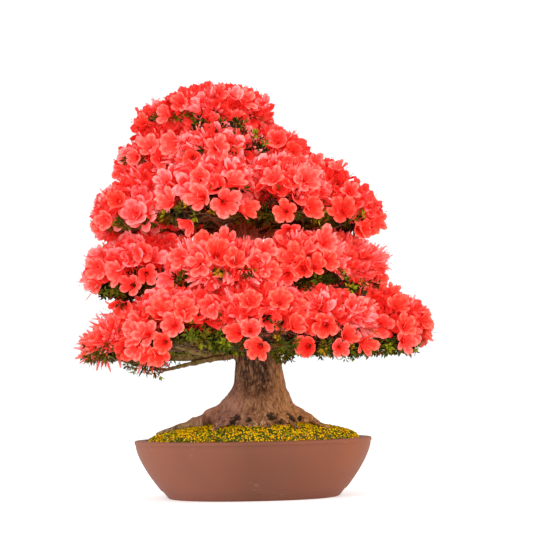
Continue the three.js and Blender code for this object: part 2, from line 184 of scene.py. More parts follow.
for name, (place, aim, width, watts) in LAMPS.items():
    data = bpy.data.lights.new(name, "AREA")
    data.shape = "SQUARE"
    data.size = width
    data.energy = watts
    lamp = new_object(name, data)
    lamp.location = place
    lamp.rotation_euler = (Vector(aim) - Vector(place)).to_track_quat("-Z", "Y").to_euler()

floor_mesh = mesh_from("floor", FLOOR, [(0, 1, 2, 3)], False)
floor_mesh.materials.append(plain("white_studio_paper", "f4f4f4", 0.9, Emission_Color=(1, 1, 1, 1),
                                  Emission_Strength=0.3))
new_object("floor", floor_mesh)
print("lamps:", len(LAMPS), "world strength:", WORLD_STRENGTH)

# %% [markdown]
# ## Pot
#
# The pot is unglazed stoneware, pressed in a mould and fired red-brown. Its plan is a full oval, the sides
# bulge up from a low foot, and the rim is a flat band with a narrow lip outside. A lathe can't turn an
# oval, so the pot is a stack of oval rings that follow the same curve as the CAD, with many more points
# round it and small rounded edges at lip, rim and foot.

# %% Pot rings
POT_HALF_LENGTH = 198.5  # millimetres, as all the pot's sizes
POT_END_TO_SIDE = 45  # how much less the half depth is
POT_SQUARENESS = 2.25  # 2 is an ellipse
POT_HEIGHT = 96
LIP_HEIGHT = 6
LIP_OUT = 1.2
RIM_WIDTH = 18
FOOT_HEIGHT = 13
UNDERSIDE, FOOT_EDGE, FOOT_FLARE = (90, 0), (139, 0), (148, 6)  # half length and height
BODY_HALF_LENGTH = 155  # where the body leaves the foot
SIDE_START = 18  # heights of the side's first ring and of the step between rings
SIDE_STEP = 6
POT_BULGE = 1.5
POT_WALL = 10
POT_FLOOR = 12
POT_COLUMNS = 192


def oval(half_length, z, columns=POT_COLUMNS):
    """One level of the pot's oval, in millimetres."""
    half_depth = half_length - POT_END_TO_SIDE
    power = 2 / POT_SQUARENESS
    ring = []
    for column in range(columns):
        c, s = math.cos(math.tau * column / columns), math.sin(math.tau * column / columns)
        ring.append((math.copysign(abs(c) ** power, c) * half_length,
                     math.copysign(abs(s) ** power, s) * half_depth, z))
    return ring


def pot_side(z):
    top = POT_HALF_LENGTH - LIP_OUT
    share = (z - FOOT_HEIGHT) / (POT_HEIGHT - LIP_HEIGHT - FOOT_HEIGHT)
    return mix(BODY_HALF_LENGTH, top, 1 - (1 - min(share, 1)) ** POT_BULGE)


def rounded(corner, start, end, radius, steps):
    """Points of a rounded corner of a profile, between the directions of start and end."""
    corner, start, end = Vector(corner), Vector(start), Vector(end)
    first = corner + (start - corner).normalized() * radius
    last = corner + (end - corner).normalized() * radius
    shares = [k / steps for k in range(steps + 1)]
    return [tuple(first.lerp(corner, t).lerp(corner.lerp(last, t), t)) for t in shares]


def skin(rings):
    """Quads through a stack of rings, closed by a fan at both ends."""
    columns = len(rings[0])
    points = [p for ring in rings for p in ring]
    faces = []
    for level in range(len(rings) - 1):
        low, high = level * columns, (level + 1) * columns
        for i in range(columns):
            j = (i + 1) % columns
            faces.append((low + i, low + j, high + j, high + i))
    for level, turned in ((0, True), (len(rings) - 1, False)):
        middle = [sum(p[k] for p in rings[level]) / columns for k in range(3)]
        points.append(middle)
        centre = len(points) - 1
        for i in range(columns):
            j = (i + 1) % columns
            a, b = level * columns + i, level * columns + j
            faces.append((centre, b, a) if turned else (centre, a, b))
    return points, faces


# %% [markdown]
# A profile is the outline of a cut through one end of the pot. Each of its points becomes one oval ring.

# %% Pot profile
# The profile as (half length, height): underside, foot, side, lip, rim, and then down the inside.
lip_foot = POT_HEIGHT - LIP_HEIGHT
outer, inner = POT_HALF_LENGTH, POT_HALF_LENGTH - RIM_WIDTH
side_start = (pot_side(SIDE_START), SIDE_START)
profile = [UNDERSIDE, FOOT_EDGE]
profile += rounded((142.5, 0), FOOT_EDGE, FOOT_FLARE, 1.5, 3)
profile += rounded((152.5, FOOT_HEIGHT - 1), FOOT_FLARE, (154.6, FOOT_HEIGHT), 0.8, 2)
profile += rounded((BODY_HALF_LENGTH, FOOT_HEIGHT), (153, FOOT_HEIGHT - 0.6), side_start, 0.9, 2)
profile += [(pot_side(z), z) for z in range(SIDE_START, lip_foot, SIDE_STEP)]
profile += [(pot_side(lip_foot) - 0.2, lip_foot - 0.4)]
profile += rounded((outer, lip_foot + 0.5), (outer - LIP_OUT, lip_foot), (outer, POT_HEIGHT), 0.7, 3)
profile += rounded((outer, POT_HEIGHT), (outer, lip_foot), (inner, POT_HEIGHT), 1.8, 4)
profile += [(mix(outer, inner, 0.5), POT_HEIGHT)]
profile += rounded((inner, POT_HEIGHT), (outer, POT_HEIGHT), (inner, 84), 1.6, 4)
profile += [(inner, 86), (inner - 2, 83), (pot_side(60) - POT_WALL - 2, 60)]
profile += [(pot_side(z) - POT_WALL, z) for z in (46, POT_FLOOR)]
points, faces = skin([oval(half, z) for half, z in profile])
pot_mesh = mesh_from("pot_stoneware", [Vector(p) * MM for p in points], faces)
pot = new_object("pot_stoneware", pot_mesh)
print("pot:", triangles(pot_mesh), "triangles")

# %% [markdown]
# The clay is unglazed stoneware: matt, with a very fine grain that gives no sharp highlight. Firing leaves
# it a little more orange where the flame reached, here on the right, and the middle of the front is painted
# darker as painted shade. Handling leaves a few pale scuffs and dark pinholes. The cloudy tone comes from a
# large slow noise, the scuffs from a stretched noise of which only the peaks are kept, and the grain from a
# very fine bump. Each of them is a colour laid over the one before it where some values lie in a reach, so
# one function builds that step.

# %% Clay
def set_stops(node, stops):
    """Gives a colour ramp its stops of (position, hex colour), and gives back its colour."""
    elements = node.color_ramp.elements
    while len(elements) < len(stops):
        elements.new(0.5)
    for element, (position, colour) in zip(elements, stops):
        element.position = position
        element.color = linear(colour)
    return node.outputs[0]


def lay_over(tree, base, colour, most, *reaches):
    """base with a colour laid over it where all the reaches meet. A reach is (value, none at, full at)."""
    share = most
    for value, none, full in reaches:
        part = add(tree, "ShaderNodeMapRange", {"Value": value, "From Min": none, "From Max": full})
        share = add(tree, "ShaderNodeMath", {0: part.outputs[0], 1: share}, operation="MULTIPLY").outputs[0]
    laid = add(tree, "ShaderNodeMix", {"Factor": share, 6: base, 7: linear(colour)}, data_type="RGBA")
    return laid.outputs[2]


def clay_material():
    material, shader = new_material("unglazed_stoneware", 0.62, IOR=1.5, Specular_IOR_Level=0.4)
    tree = material.node_tree
    place = add(tree, "ShaderNodeTexCoord").outputs["Object"]
    across = add(tree, "ShaderNodeSeparateXYZ", {0: place}).outputs["X"]
    # From end to end: reddish brown on the left, darker in the middle of the front as painted shade, and a
    # little more orange on the right.
    end_to_end = add(tree, "ShaderNodeMapRange", {"Value": across, "From Min": -0.2, "From Max": 0.2})
    fired_tone_and_painted_shade = set_stops(add(tree, "ShaderNodeValToRGB", {0: end_to_end.outputs[0]}),
                      [(0.0, "8e5038"), (0.25, "874c36"), (0.5, "6f3c24"), (0.65, "763f26"), (0.9, "894725")])
    clouds = add(tree, "ShaderNodeTexNoise", {"Vector": place, "Scale": 14.0, "Detail": 5.0})
    stretched = add(tree, "ShaderNodeMapping", {"Vector": place, "Scale": (110.0, 110.0, 700.0)})
    scuffs = add(tree, "ShaderNodeTexNoise", {"Vector": stretched.outputs[0], "Scale": 1.0, "Detail": 3.0})
    patches = add(tree, "ShaderNodeTexNoise", {"Vector": place, "Scale": 26.0, "Detail": 1.0})
    kept = add(tree, "ShaderNodeMath", {0: scuffs.outputs[0], 1: patches.outputs[0]}, operation="MULTIPLY")
    pinholes = add(tree, "ShaderNodeTexVoronoi", {"Vector": place, "Scale": 62.0})
    cloudy = lay_over(tree, fired_tone_and_painted_shade, "6b3e2e", 0.35, (clouds.outputs[0], 0.35, 0.7))
    scuffed = lay_over(tree, cloudy, "c49a83", 0.45, (kept.outputs[0], 0.43, 0.52))
    pitted = lay_over(tree, scuffed, "4e2c22", 1.0, (pinholes.outputs["Distance"], 0.045, 0.02))
    tree.links.new(pitted, shader.inputs["Base Color"])
    grain = add(tree, "ShaderNodeTexNoise", {"Vector": place, "Scale": 1400.0, "Detail": 2.0})
    bump = add(tree, "ShaderNodeBump", {"Height": grain.outputs[0], "Strength": 0.25, "Distance": 0.0004})
    tree.links.new(bump.outputs[0], shader.inputs["Normal"])
    return material


clay = clay_material()
print(clay.name, len(clay.node_tree.nodes), "nodes")
pot_mesh.materials.append(clay)
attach(pot, "root")
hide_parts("pot")

# %% [markdown]
# ## Geometry Nodes that scatter
#
# Moss grains, leaves and flowers are all small shapes repeated hundreds of times. Geometry Nodes make such
# copies quickly: a cloud of points carries how each copy is turned, how large it is and which model it
# takes, and Instance on Points places the models. Realize Instances then turns the copies into real
# faces. Every model's face carries a number, "skin", and one Set Material for each number gives the faces
# their material at the end, so a petal can be deep red in its throat and pale at its edge without any
# pattern. Three trees follow in this notebook. They begin and end alike, and two of them place models, so
# three functions build those parts of a tree.

# %% What the trees share
def new_tree(name, *inputs):
    """A tree with its inputs and one result, and the inputs' outlets. An input is (name, type, value)."""
    tree = bpy.data.node_groups.new(name, "GeometryNodeTree")
    for label, kind, value in inputs:
        socket = tree.interface.new_socket(label, in_out="INPUT", socket_type="NodeSocket" + kind)
        if value is not None:
            socket.default_value = value
    tree.interface.new_socket("Result", in_out="OUTPUT", socket_type="NodeSocketGeometry")
    return tree, add(tree, "NodeGroupInput").outputs


def place_models(tree, points, collection, model, turn, size):
    """A copy of one of the collection's models on every point."""
    models = add(tree, "GeometryNodeCollectionInfo", {"Collection": collection, "Separate Children": True,
                                                      "Reset Children": True})
    rotation = add(tree, "FunctionNodeEulerToRotation", {0: turn})
    copies = add(tree, "GeometryNodeInstanceOnPoints", {
        "Points": points, "Instance": models.outputs[0], "Pick Instance": True, "Instance Index": model,
        "Rotation": rotation.outputs[0], "Scale": size})
    return copies.outputs[0]


def end_tree(tree, geometry, materials):
    """Real faces, each with the material of its skin number. Faces without a number take the first."""
    real = add(tree, "GeometryNodeRealizeInstances", {0: geometry}).outputs[0]
    skin_number = add(tree, "GeometryNodeInputNamedAttribute", {"Name": "skin"}, data_type="INT").outputs[0]
    for number, material in enumerate(materials):
        same = add(tree, "FunctionNodeCompare", {2: skin_number, 3: number}, data_type="INT", operation="EQUAL")
        real = add(tree, "GeometryNodeSetMaterial", {0: real, "Selection": same.outputs[0],
                                                     "Material": material}).outputs[0]
    add(tree, "NodeGroupOutput", {0: real})
    return tree


# %% The scatter tree
def scatter_tree(name, materials):
    """A tree that puts a collection's models on points. Attributes: turn, size, model, skin."""
    tree, start = new_tree(name, ("Points", "Geometry", None), ("Models", "Collection", None),
                           ("Size", "Float", 1.0))
    model = add(tree, "GeometryNodeInputNamedAttribute", {"Name": "model"}, data_type="INT")
    turn = add(tree, "GeometryNodeInputNamedAttribute", {"Name": "turn"}, data_type="FLOAT_VECTOR")
    size = add(tree, "GeometryNodeInputNamedAttribute", {"Name": "size"}, data_type="FLOAT")
    scale = add(tree, "ShaderNodeMath", {0: size.outputs[0], 1: start["Size"]}, operation="MULTIPLY")
    copies = place_models(tree, start["Points"], start["Models"], model.outputs[0], turn.outputs[0],
                          scale.outputs[0])
    return end_tree(tree, copies, materials)


# %% [markdown]
# A tree runs as a modifier on an object that carries its points. The mesh that comes out is kept, and the
# object is thrown away, so nothing in the scene depends on a modifier. The points' attributes are written
# in one go, which is much faster than point by point.

# %% Run a tree on a mesh
def model_collection(name, models):
    """A collection of model objects, picked by their place in the alphabet, out of the scene."""
    holder = bpy.data.collections.new(name)
    for number, mesh in enumerate(models):
        holder.objects.link(bpy.data.objects.new(f"{name}_{number:02d}", mesh))
    return holder


def evaluated_mesh(holder, name):
    """The plain mesh that an object's modifiers make."""
    graph = bpy.context.evaluated_depsgraph_get()
    mesh = bpy.data.meshes.new_from_object(holder.evaluated_get(graph))
    mesh.name = name
    return mesh


def run_tree(name, mesh, tree, values):
    """Runs a Geometry Nodes tree on a mesh and gives back the plain mesh that it makes."""
    holder = new_object(name, mesh)
    modifier = holder.modifiers.new("nodes", "NODES")
    modifier.node_group = tree
    for item in tree.interface.items_tree:
        if item.in_out == "INPUT" and item.name in values:
            modifier[item.identifier] = values[item.name]
    result = evaluated_mesh(holder, name)
    bpy.data.objects.remove(holder)
    return result


def scatter(name, spots, tree, models, size=1.0):
    """spots is a list of (place, facing, spin, size, model). The models' +Z turns to the facing."""
    points = bpy.data.meshes.new(name + "_points")
    points.from_pydata([tuple(place) for place, *_ in spots], [], [])
    turns = []
    for _, facing, spin, _, _ in spots:
        turn = facing.to_track_quat("Z", "Y") @ Quaternion((0, 0, 1), spin)
        turns.extend(turn.to_euler())
    points.attributes.new("turn", "FLOAT_VECTOR", "POINT").data.foreach_set("vector", turns)
    points.attributes.new("size", "FLOAT", "POINT").data.foreach_set("value", [s[3] for s in spots])
    points.attributes.new("model", "INT", "POINT").data.foreach_set("value", [s[4] for s in spots])
    return run_tree(name, points, tree, {"Models": models, "Size": size})


def number_faces(mesh, numbers):
    mesh.attributes.new("skin", "INT", "FACE").data.foreach_set("value", numbers)
    return mesh


# %% [markdown]
# ## Moss
#
# The soil is mounded up towards the trunk and dressed with fine moss that has dried to yellow in places,
# so from a step away it reads as thousands of yellow, orange and green grains. The mound itself follows
# the CAD's formula and is dark, since it is only seen between the grains. The grains are spread over it
# evenly by a second tree, with a least distance between them, and take one of four colours.

# %% Mound
SOIL_EDGE = 90.5  # the height at the pot's wall, in millimetres
SOIL_MOUND = 34.5  # how much higher the middle is
SOIL_FULLNESS = 0.45
SOIL_LEAN = 0.008  # the moss is fuller on the right
SOIL_HALF = POT_HALF_LENGTH - RIM_WIDTH - 0.3
SOIL_HALF_DEPTH = SOIL_HALF - POT_END_TO_SIDE
SOIL_UNDERSIDE = 70
GRAIN_ROOM = 1.5  # the ground lies this much lower than the grains' tops
LUMP_WIDTH, LUMP_HEIGHT = 22, 1.6
MOUND_COLUMNS, MOUND_RINGS = 120, 24


def moss_height(x, y):
    power = POT_SQUARENESS
    share = (abs(x / SOIL_HALF) ** power + abs(y / SOIL_HALF_DEPTH) ** power) ** (1 / power)
    return SOIL_EDGE + SOIL_LEAN * x + SOIL_MOUND * max(0.0, 1 - share * share) ** SOIL_FULLNESS


def mound_ring(share):
    ring = []
    for x, y, _ in oval(SOIL_HALF, 0, MOUND_COLUMNS):
        x, y = x * share, y * share
        lumps = noise.noise(Vector((x, y, 0)) / LUMP_WIDTH) * LUMP_HEIGHT
        ring.append((x, y, moss_height(x, y) - GRAIN_ROOM + lumps * (1 - share)))
    return ring


rings = [oval(SOIL_HALF - 6, SOIL_UNDERSIDE, MOUND_COLUMNS), mound_ring(1.0)]
rings += [mound_ring(number / MOUND_RINGS) for number in range(MOUND_RINGS - 1, 0, -1)]
points, faces = skin(rings)
mound_mesh = mesh_from("moss_mound", [Vector(p) * MM for p in points], faces)
mound = new_object("moss_mound", mound_mesh)
print("mound:", triangles(mound_mesh), "triangles")

# %% [markdown]
# The ground under the grains is damp dark moss and soil. A noise of about four millimetres mixes olive
# and brown, and a bump of the same size keeps it from looking flat where it shows.

# %% Soil material
def soil_material():
    material, shader = new_material("damp_soil_and_moss", 0.95)
    tree = material.node_tree
    place = add(tree, "ShaderNodeTexCoord").outputs["Object"]
    clumps = add(tree, "ShaderNodeTexNoise", {"Vector": place, "Scale": 250.0, "Detail": 4.0})
    tone = lay_over(tree, linear("3b2d0c"), "6f6416", 1.0, (clumps.outputs[0], 0.35, 0.65))
    tree.links.new(tone, shader.inputs["Base Color"])
    bump = add(tree, "ShaderNodeBump", {"Height": clumps.outputs[0], "Strength": 0.6, "Distance": 0.002})
    tree.links.new(bump.outputs[0], shader.inputs["Normal"])
    return material


soil = soil_material()
print(soil.name, len(soil.node_tree.nodes), "nodes")
mound_mesh.materials.append(soil)

# %% [markdown]
# A grain is a lump of some twenty faces, squeezed and made uneven a little so that no two models look alike.
# Eight models, two for each colour, are enough: the turn and the size of every copy differ.

# %% Grain models
def grain_model(seed):
    chance = random.Random(seed)
    shape = bmesh.new()
    bmesh.ops.create_icosphere(shape, subdivisions=1, radius=1.0)
    for vertex in shape.verts:
        vertex.co *= chance.uniform(0.7, 1.15)
        vertex.co.z *= 0.8
    mesh = bpy.data.meshes.new(f"grain_{seed}")
    shape.to_mesh(mesh)
    shape.free()
    return mesh


MOSS_COLOURS = {"yellow": "ecba08", "orange": "cc8604", "olive": "989000", "green": "3c4e00"}
GRAIN_MODELS = 2 * len(MOSS_COLOURS)
moss_materials = [plain("dry_moss_" + name, colour, Specular_IOR_Level=0.05)
                  for name, colour in MOSS_COLOURS.items()]
grain_meshes = []
for number in range(GRAIN_MODELS):
    grain = grain_model(number)
    grain_meshes.append(number_faces(grain, [number // 2] * len(grain.polygons)))
grains = model_collection("grain", grain_meshes)
print("grain models:", len(grain_meshes))


# %% The moss tree: points a least distance apart, one grain on each
def moss_tree(materials):
    tree, start = new_tree("moss_grains", ("Ground", "Geometry", None), ("Models", "Collection", None),
                           ("Least distance", "Float", 0.003), ("Smallest", "Float", 0.001),
                           ("Largest", "Float", 0.002))
    spread = add(tree, "GeometryNodeDistributePointsOnFaces", {
        "Mesh": start["Ground"], "Distance Min": start["Least distance"], "Density Max": 300000.0, "Seed": 4},
        distribute_method="POISSON")
    size = add(tree, "FunctionNodeRandomValue", {2: start["Smallest"], 3: start["Largest"], "Seed": 5})
    turn = add(tree, "FunctionNodeRandomValue", {0: (0.0, 0.0, 0.0), 1: (6.3, 6.3, 6.3), "Seed": 6},
               data_type="FLOAT_VECTOR")
    # Colours gather in patches: a slow noise shifts which models are picked.
    patches = add(tree, "ShaderNodeTexNoise", {"Scale": 60.0, "Detail": 2.0})
    picked = add(tree, "FunctionNodeRandomValue", {2: -5.0, 3: 5.0, "Seed": 7})
    shifted = add(tree, "ShaderNodeMapRange", {"Value": patches.outputs[0], "From Min": 0.3, "From Max": 0.7,
                                               "To Min": 2.4, "To Max": 5.2})
    added = add(tree, "ShaderNodeMath", {0: shifted.outputs[0], 1: picked.outputs[1]}, operation="ADD")
    kept = add(tree, "ShaderNodeClamp", {"Value": added.outputs[0], "Min": 0.0, "Max": GRAIN_MODELS - 0.01})
    whole = add(tree, "FunctionNodeFloatToInt", {0: kept.outputs[0]}, rounding_mode="FLOOR")
    copies = place_models(tree, spread.outputs[0], start["Models"], whole.outputs[0], turn.outputs[0],
                          size.outputs[1])
    return end_tree(tree, copies, materials)


# No grains grow on the part of the mound that lies against the pot's wall or looks down.
LOWEST_GRAIN = 93 * MM
ground = bpy.data.meshes.new("ground")
shape = bmesh.new()
shape.from_mesh(mound_mesh)
hidden = [f for f in shape.faces if f.calc_center_median().z < LOWEST_GRAIN or f.normal.z < 0.3]
bmesh.ops.delete(shape, geom=hidden, context="FACES")
shape.to_mesh(ground)
shape.free()
moss_mesh = run_tree("moss_grains", ground, moss_tree(moss_materials),
                     {"Models": grains, "Least distance": 2.6 * MM, "Smallest": 1.3 * MM, "Largest": 2.4 * MM})
moss = new_object("moss_grains", moss_mesh)
print("moss:", triangles(moss_mesh), "triangles")
for piece in (mound, moss):
    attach(piece, "root")
    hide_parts("moss_soil")

# %% [markdown]
# ## Trunk and boughs
#
# The trunk of an old azalea is thick and muscular: long flutes run down it, it swells over the roots, and
# the roots grip the mound like fingers. The CAD's trunk and boughs have that shape in flat facets and with
# hairline gaps between them. Copies of them are melted together by a voxel remesh, smoothed, and then
# moved along their normals by noise: slow noise stretched upwards for the flutes, rounder noise for the
# knobs low on the trunk, and a fine stretched noise for the bark itself. The trunk also swells a little over
# the roots, has a waist above that, and has hollows between the roots.

# %% Melt the limbs into one
# The trunk's axis, as in the CAD: x, y, z and radius in millimetres.
TRUNK_LINE = [(7, 0, 104, 40), (10, 0, 180, 40), (12, 2, 240, 39.5), (10, 6, 305, 36), (0, 5, 375, 31),
              (-9, 0, 445, 26), (-24, 2, 510, 20), (-42, 4, 575, 14), (-54, 0, 640, 8)]
limbs = [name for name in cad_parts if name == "trunk" or name.startswith("bough_")]
melted = bmesh.new()
for name in limbs:
    melted.from_mesh(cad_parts[name].data)
bmesh.ops.remove_doubles(melted, verts=melted.verts, dist=0.01 * MM)
bark_mesh = bpy.data.meshes.new("bark")
melted.to_mesh(bark_mesh)
melted.free()
holder = new_object("bark_holder", bark_mesh)
remesh = holder.modifiers.new("melt", "REMESH")
remesh.mode = "VOXEL"
remesh.voxel_size = 2.0 * MM
smooth = holder.modifiers.new("smooth", "SMOOTH")
smooth.factor = 0.5
smooth.iterations = 8
bark_mesh = evaluated_mesh(holder, "bark_limbs")
bpy.data.objects.remove(holder)
print("limbs:", len(limbs), "melted to", len(bark_mesh.vertices), "points")


# %% Flutes, knobs and bark
FOOT_TOP = 200  # below this height all is trunk and roots


def within(value):
    """The value, kept between 0 and 1."""
    return max(0.0, min(1.0, value))


def trunk_centre(z):
    """The x and y of the trunk's axis at a height, and the trunk's radius there."""
    rows = np.array(TRUNK_LINE)
    return [float(np.interp(z, rows[:, 2], rows[:, k])) for k in (0, 1, 3)]


def relief(place, girth):
    """How far the bark stands out at a point, in millimetres. girth is 1 on the trunk, less on boughs."""
    x, y, z = place

    def swell(across, upwards, shift=(0, 0, 0)):
        return noise.noise(Vector((x / across, y / across, z / upwards)) + Vector(shift))

    low = within((FOOT_TOP - z) / 80)
    flutes, knobs = swell(17, 75), swell(15, 19, (9, 4, 2))
    plates, fine = swell(4.2, 13), swell(1.9, 4.5)
    carved = 4.4 * (flutes - 0.3) + (1.2 + 2.8 * low) * (knobs - 0.15)
    return girth * carved + 1.1 * plates + 0.45 * fine


def waistline(x, z):
    """How far the trunk swells or narrows at a height, in millimetres. It is narrower on the left."""
    def band(middle, width):
        return math.exp(-((z - middle) / width) ** 2)
    return 2.5 * band(166, 11) - 2.5 * band(145, 9) - mix(4.5, 1.5, within(x / 25)) * band(190, 24)


# %% [markdown]
# A hollow is given by a direction from the trunk's axis and a height. The point of the bark that comes
# nearest to both is its middle.

# %% Find the hollows
# Hollows between the roots at the trunk's foot: x, y to aim at, height, radius.
HOLLOWS = [(-32, -68, 132, 10), (-5, -72, 128, 8), (76, -46, 131, 12), (33, -66, 136, 9), (-72, -50, 134, 7),
           (44, -64, 126, 10), (-44, -66, 124, 8), (98, -30, 127, 7), (60, 50, 129, 9), (-10, 70, 131, 8),
           (-70, 42, 128, 9), (25, 66, 126, 7)]
HOLLOWS_TOP = 155
HOLLOW_DEPTH = 5
AIM_WEIGHT = 6000  # how much a wrong direction counts beside a wrong height
BOUGH_GIRTH = 0.28  # the share of the trunk's relief that boughs have
BARE_FROM, BARE_TO = 142, 246  # the bare middle of the trunk, where the shade is more even

bark_points = np.empty(len(bark_mesh.vertices) * 3)
bark_mesh.vertices.foreach_get("co", bark_points)
bark_points = bark_points.reshape(-1, 3)
flat = bark_points[:, :2] / MM
reach = np.hypot(flat[:, 0], flat[:, 1]) + 0.01
hollow_spots = []
for aim_x, aim_y, height, radius in HOLLOWS:
    aim = np.array([aim_x, aim_y]) / math.hypot(aim_x, aim_y)
    off_angle = 1 - (flat @ aim) / reach
    off = off_angle * AIM_WEIGHT + (bark_points[:, 2] / MM - height) ** 2
    hollow_spots.append((bark_points[np.argmin(off)] / MM, radius))
print("hollows:", len(hollow_spots))

# %% [markdown]
# Every point moves along its normal by the relief, the waistline and any hollow that it lies in. How deep
# it ends up is written down as its shade, which the bark's colour turns into painted shade.

# %% Move the points
normals = np.array([tuple(v.normal) for v in bark_mesh.vertices])
shade = np.zeros(len(bark_points))
for i, (place, normal) in enumerate(zip(bark_points / MM, normals)):
    cx, cy, radius = trunk_centre(place[2])
    away = math.hypot(place[0] - cx, place[1] - cy)
    on_trunk = away < radius * 1.25 or place[2] < FOOT_TOP
    girth = min(1.0, radius / 34) if on_trunk else BOUGH_GIRTH
    out = relief(place, girth)
    smoother = within(min((place[2] - BARE_FROM) / 16, (BARE_TO - place[2]) / 16))
    shade[i] = mix(within(0.4 - (out + 3.5 * girth) / 5), 0.2, smoother)
    out += girth * waistline(place[0], place[2])
    if place[2] < HOLLOWS_TOP:
        for spot, width in hollow_spots:
            near = np.linalg.norm(place - spot) / width
            if near < 1.6:
                near += 0.7 * noise.noise(Vector(place / 5.5))
                out -= HOLLOW_DEPTH * max(0.0, 1 - near)
                shade[i] = max(shade[i], min(1.0, 2.0 - 1.6 * near))
    bark_points[i] += normal * out * MM
bark_mesh.vertices.foreach_set("co", bark_points.ravel())
bark_mesh.attributes.new("shade", "FLOAT", "POINT").data.foreach_set("value", shade)
bark_mesh.polygons.foreach_set("use_smooth", [True] * len(bark_mesh.polygons))
bark_mesh.update()
bark = new_object("bark_limbs", bark_mesh)
print("bark:", triangles(bark_mesh), "triangles")

# %% [markdown]
# Azalea bark is thin, warm brown and flaky, and more tan where a flake has come off. Painted shade makes it
# almost black in the folds and hollows, and a painted shadow of the crown makes it darkest in the middle
# just under the crown. It is tan on the right, partly its own tan and partly a painted highlight, reddish
# grey low on the left, and moss films a root and the lowest bough on the left. While the relief was cut,
# each point kept how deep it lies as a number, "shade", so the colour goes dark as painted shade in the
# folds and hollows.

# %% Bark material
def bark_material():
    material, shader = new_material("azalea_bark", 0.8, Specular_IOR_Level=0.25)
    tree = material.node_tree
    place = add(tree, "ShaderNodeTexCoord").outputs["Object"]
    parts = add(tree, "ShaderNodeSeparateXYZ", {0: place})
    shade = add(tree, "ShaderNodeAttribute", attribute_name="shade").outputs["Fac"]
    stretched = add(tree, "ShaderNodeMapping", {"Vector": place, "Scale": (120.0, 120.0, 26.0)})
    streaks = add(tree, "ShaderNodeTexNoise", {"Vector": stretched.outputs[0], "Scale": 1.0, "Detail": 8.0,
                                               "Roughness": 0.65})
    longer = add(tree, "ShaderNodeMapping", {"Vector": place, "Scale": (260.0, 260.0, 95.0)})
    flakes = add(tree, "ShaderNodeTexNoise", {"Vector": longer.outputs[0], "Scale": 1.0, "Detail": 5.0,
                                              "Roughness": 0.7})
    colour = set_stops(add(tree, "ShaderNodeValToRGB", {0: streaks.outputs[0]}),
                       [(0.28, "44240f"), (0.42, "7a4e31"), (0.55, "a06f48"), (0.70, "cda177")])
    x, z, flake = parts.outputs["X"], parts.outputs["Z"], flakes.outputs[0]
    for laid, most, *reaches in (
            ("d09c74", 0.7, (flake, 0.52, 0.64)),  # where a flake has come off
            ("c08a74", 0.6, (x, 0.0, -0.03), (z, 0.21, 0.165)),  # reddish, low on the left
            # partly the bark's own tan, partly a painted highlight on the right side of the trunk
            ("cf8e54", 0.6, (x, 0.018, 0.05), (flake, 0.35, 0.5)),  # tan, on the right
            ("3e2414", 0.75, (flake, 0.46, 0.33)),  # pits
            # painted shadow of the crown: the middle of the trunk under it goes dark
            ("24120a", 0.9, (x, 0.042, 0.024), (x, -0.045, -0.012), (z, 0.160, 0.190), (z, 0.40, 0.34),
             (flake, 0.72, 0.44)),  # the middle, under the crown
            # painted shade: almost black where the shade attribute says a point lies deep in a fold or hollow
            ("190d06", 0.9, (shade, 0.45, 1.0)),  # folds and hollows
            ("2a1c0c", 0.75, (z, 0.131, 0.119), (flake, 0.56, 0.44)),  # damp, at the soil
            ("8c7c40", 0.6, (x, -0.075, -0.11), (z, 0.15, 0.13), (flake, 0.40, 0.55)),  # the left root's film
            ("5f6420", 0.75, (x, -0.03, -0.05), (z, 0.19, 0.21), (flake, 0.4, 0.55))):  # moss on a low bough
        colour = lay_over(tree, colour, laid, most, *reaches)
    tree.links.new(colour, shader.inputs["Base Color"])
    bump = add(tree, "ShaderNodeBump", {"Height": flake, "Strength": 0.7, "Distance": 0.0012})
    tree.links.new(bump.outputs[0], shader.inputs["Normal"])
    return material


azalea_bark = bark_material()
print(azalea_bark.name, len(azalea_bark.node_tree.nodes), "nodes")
bark_mesh.materials.clear()
bark_mesh.materials.append(azalea_bark)
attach(bark, "root")
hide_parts(*limbs)

# %% [markdown]
# ## The pads
#
# A bonsai's foliage is clipped to pads, each on a bough of its own, in tiers with air between them. The
# table repeats the CAD's own: where each pad's middle is, its lowest level, and its size away from the
# trunk, across and upwards. A pad is a dome with a shallow belly, and its top slopes down outwards. Its
# hem is how low the flowers reach, and below that the leaves and twigs show. Its straps are the share of its
# flowers that have narrow petals. One function gives any point of that dome, drawn in by some depth, and
# twigs, leaves and flowers all take their places from it.

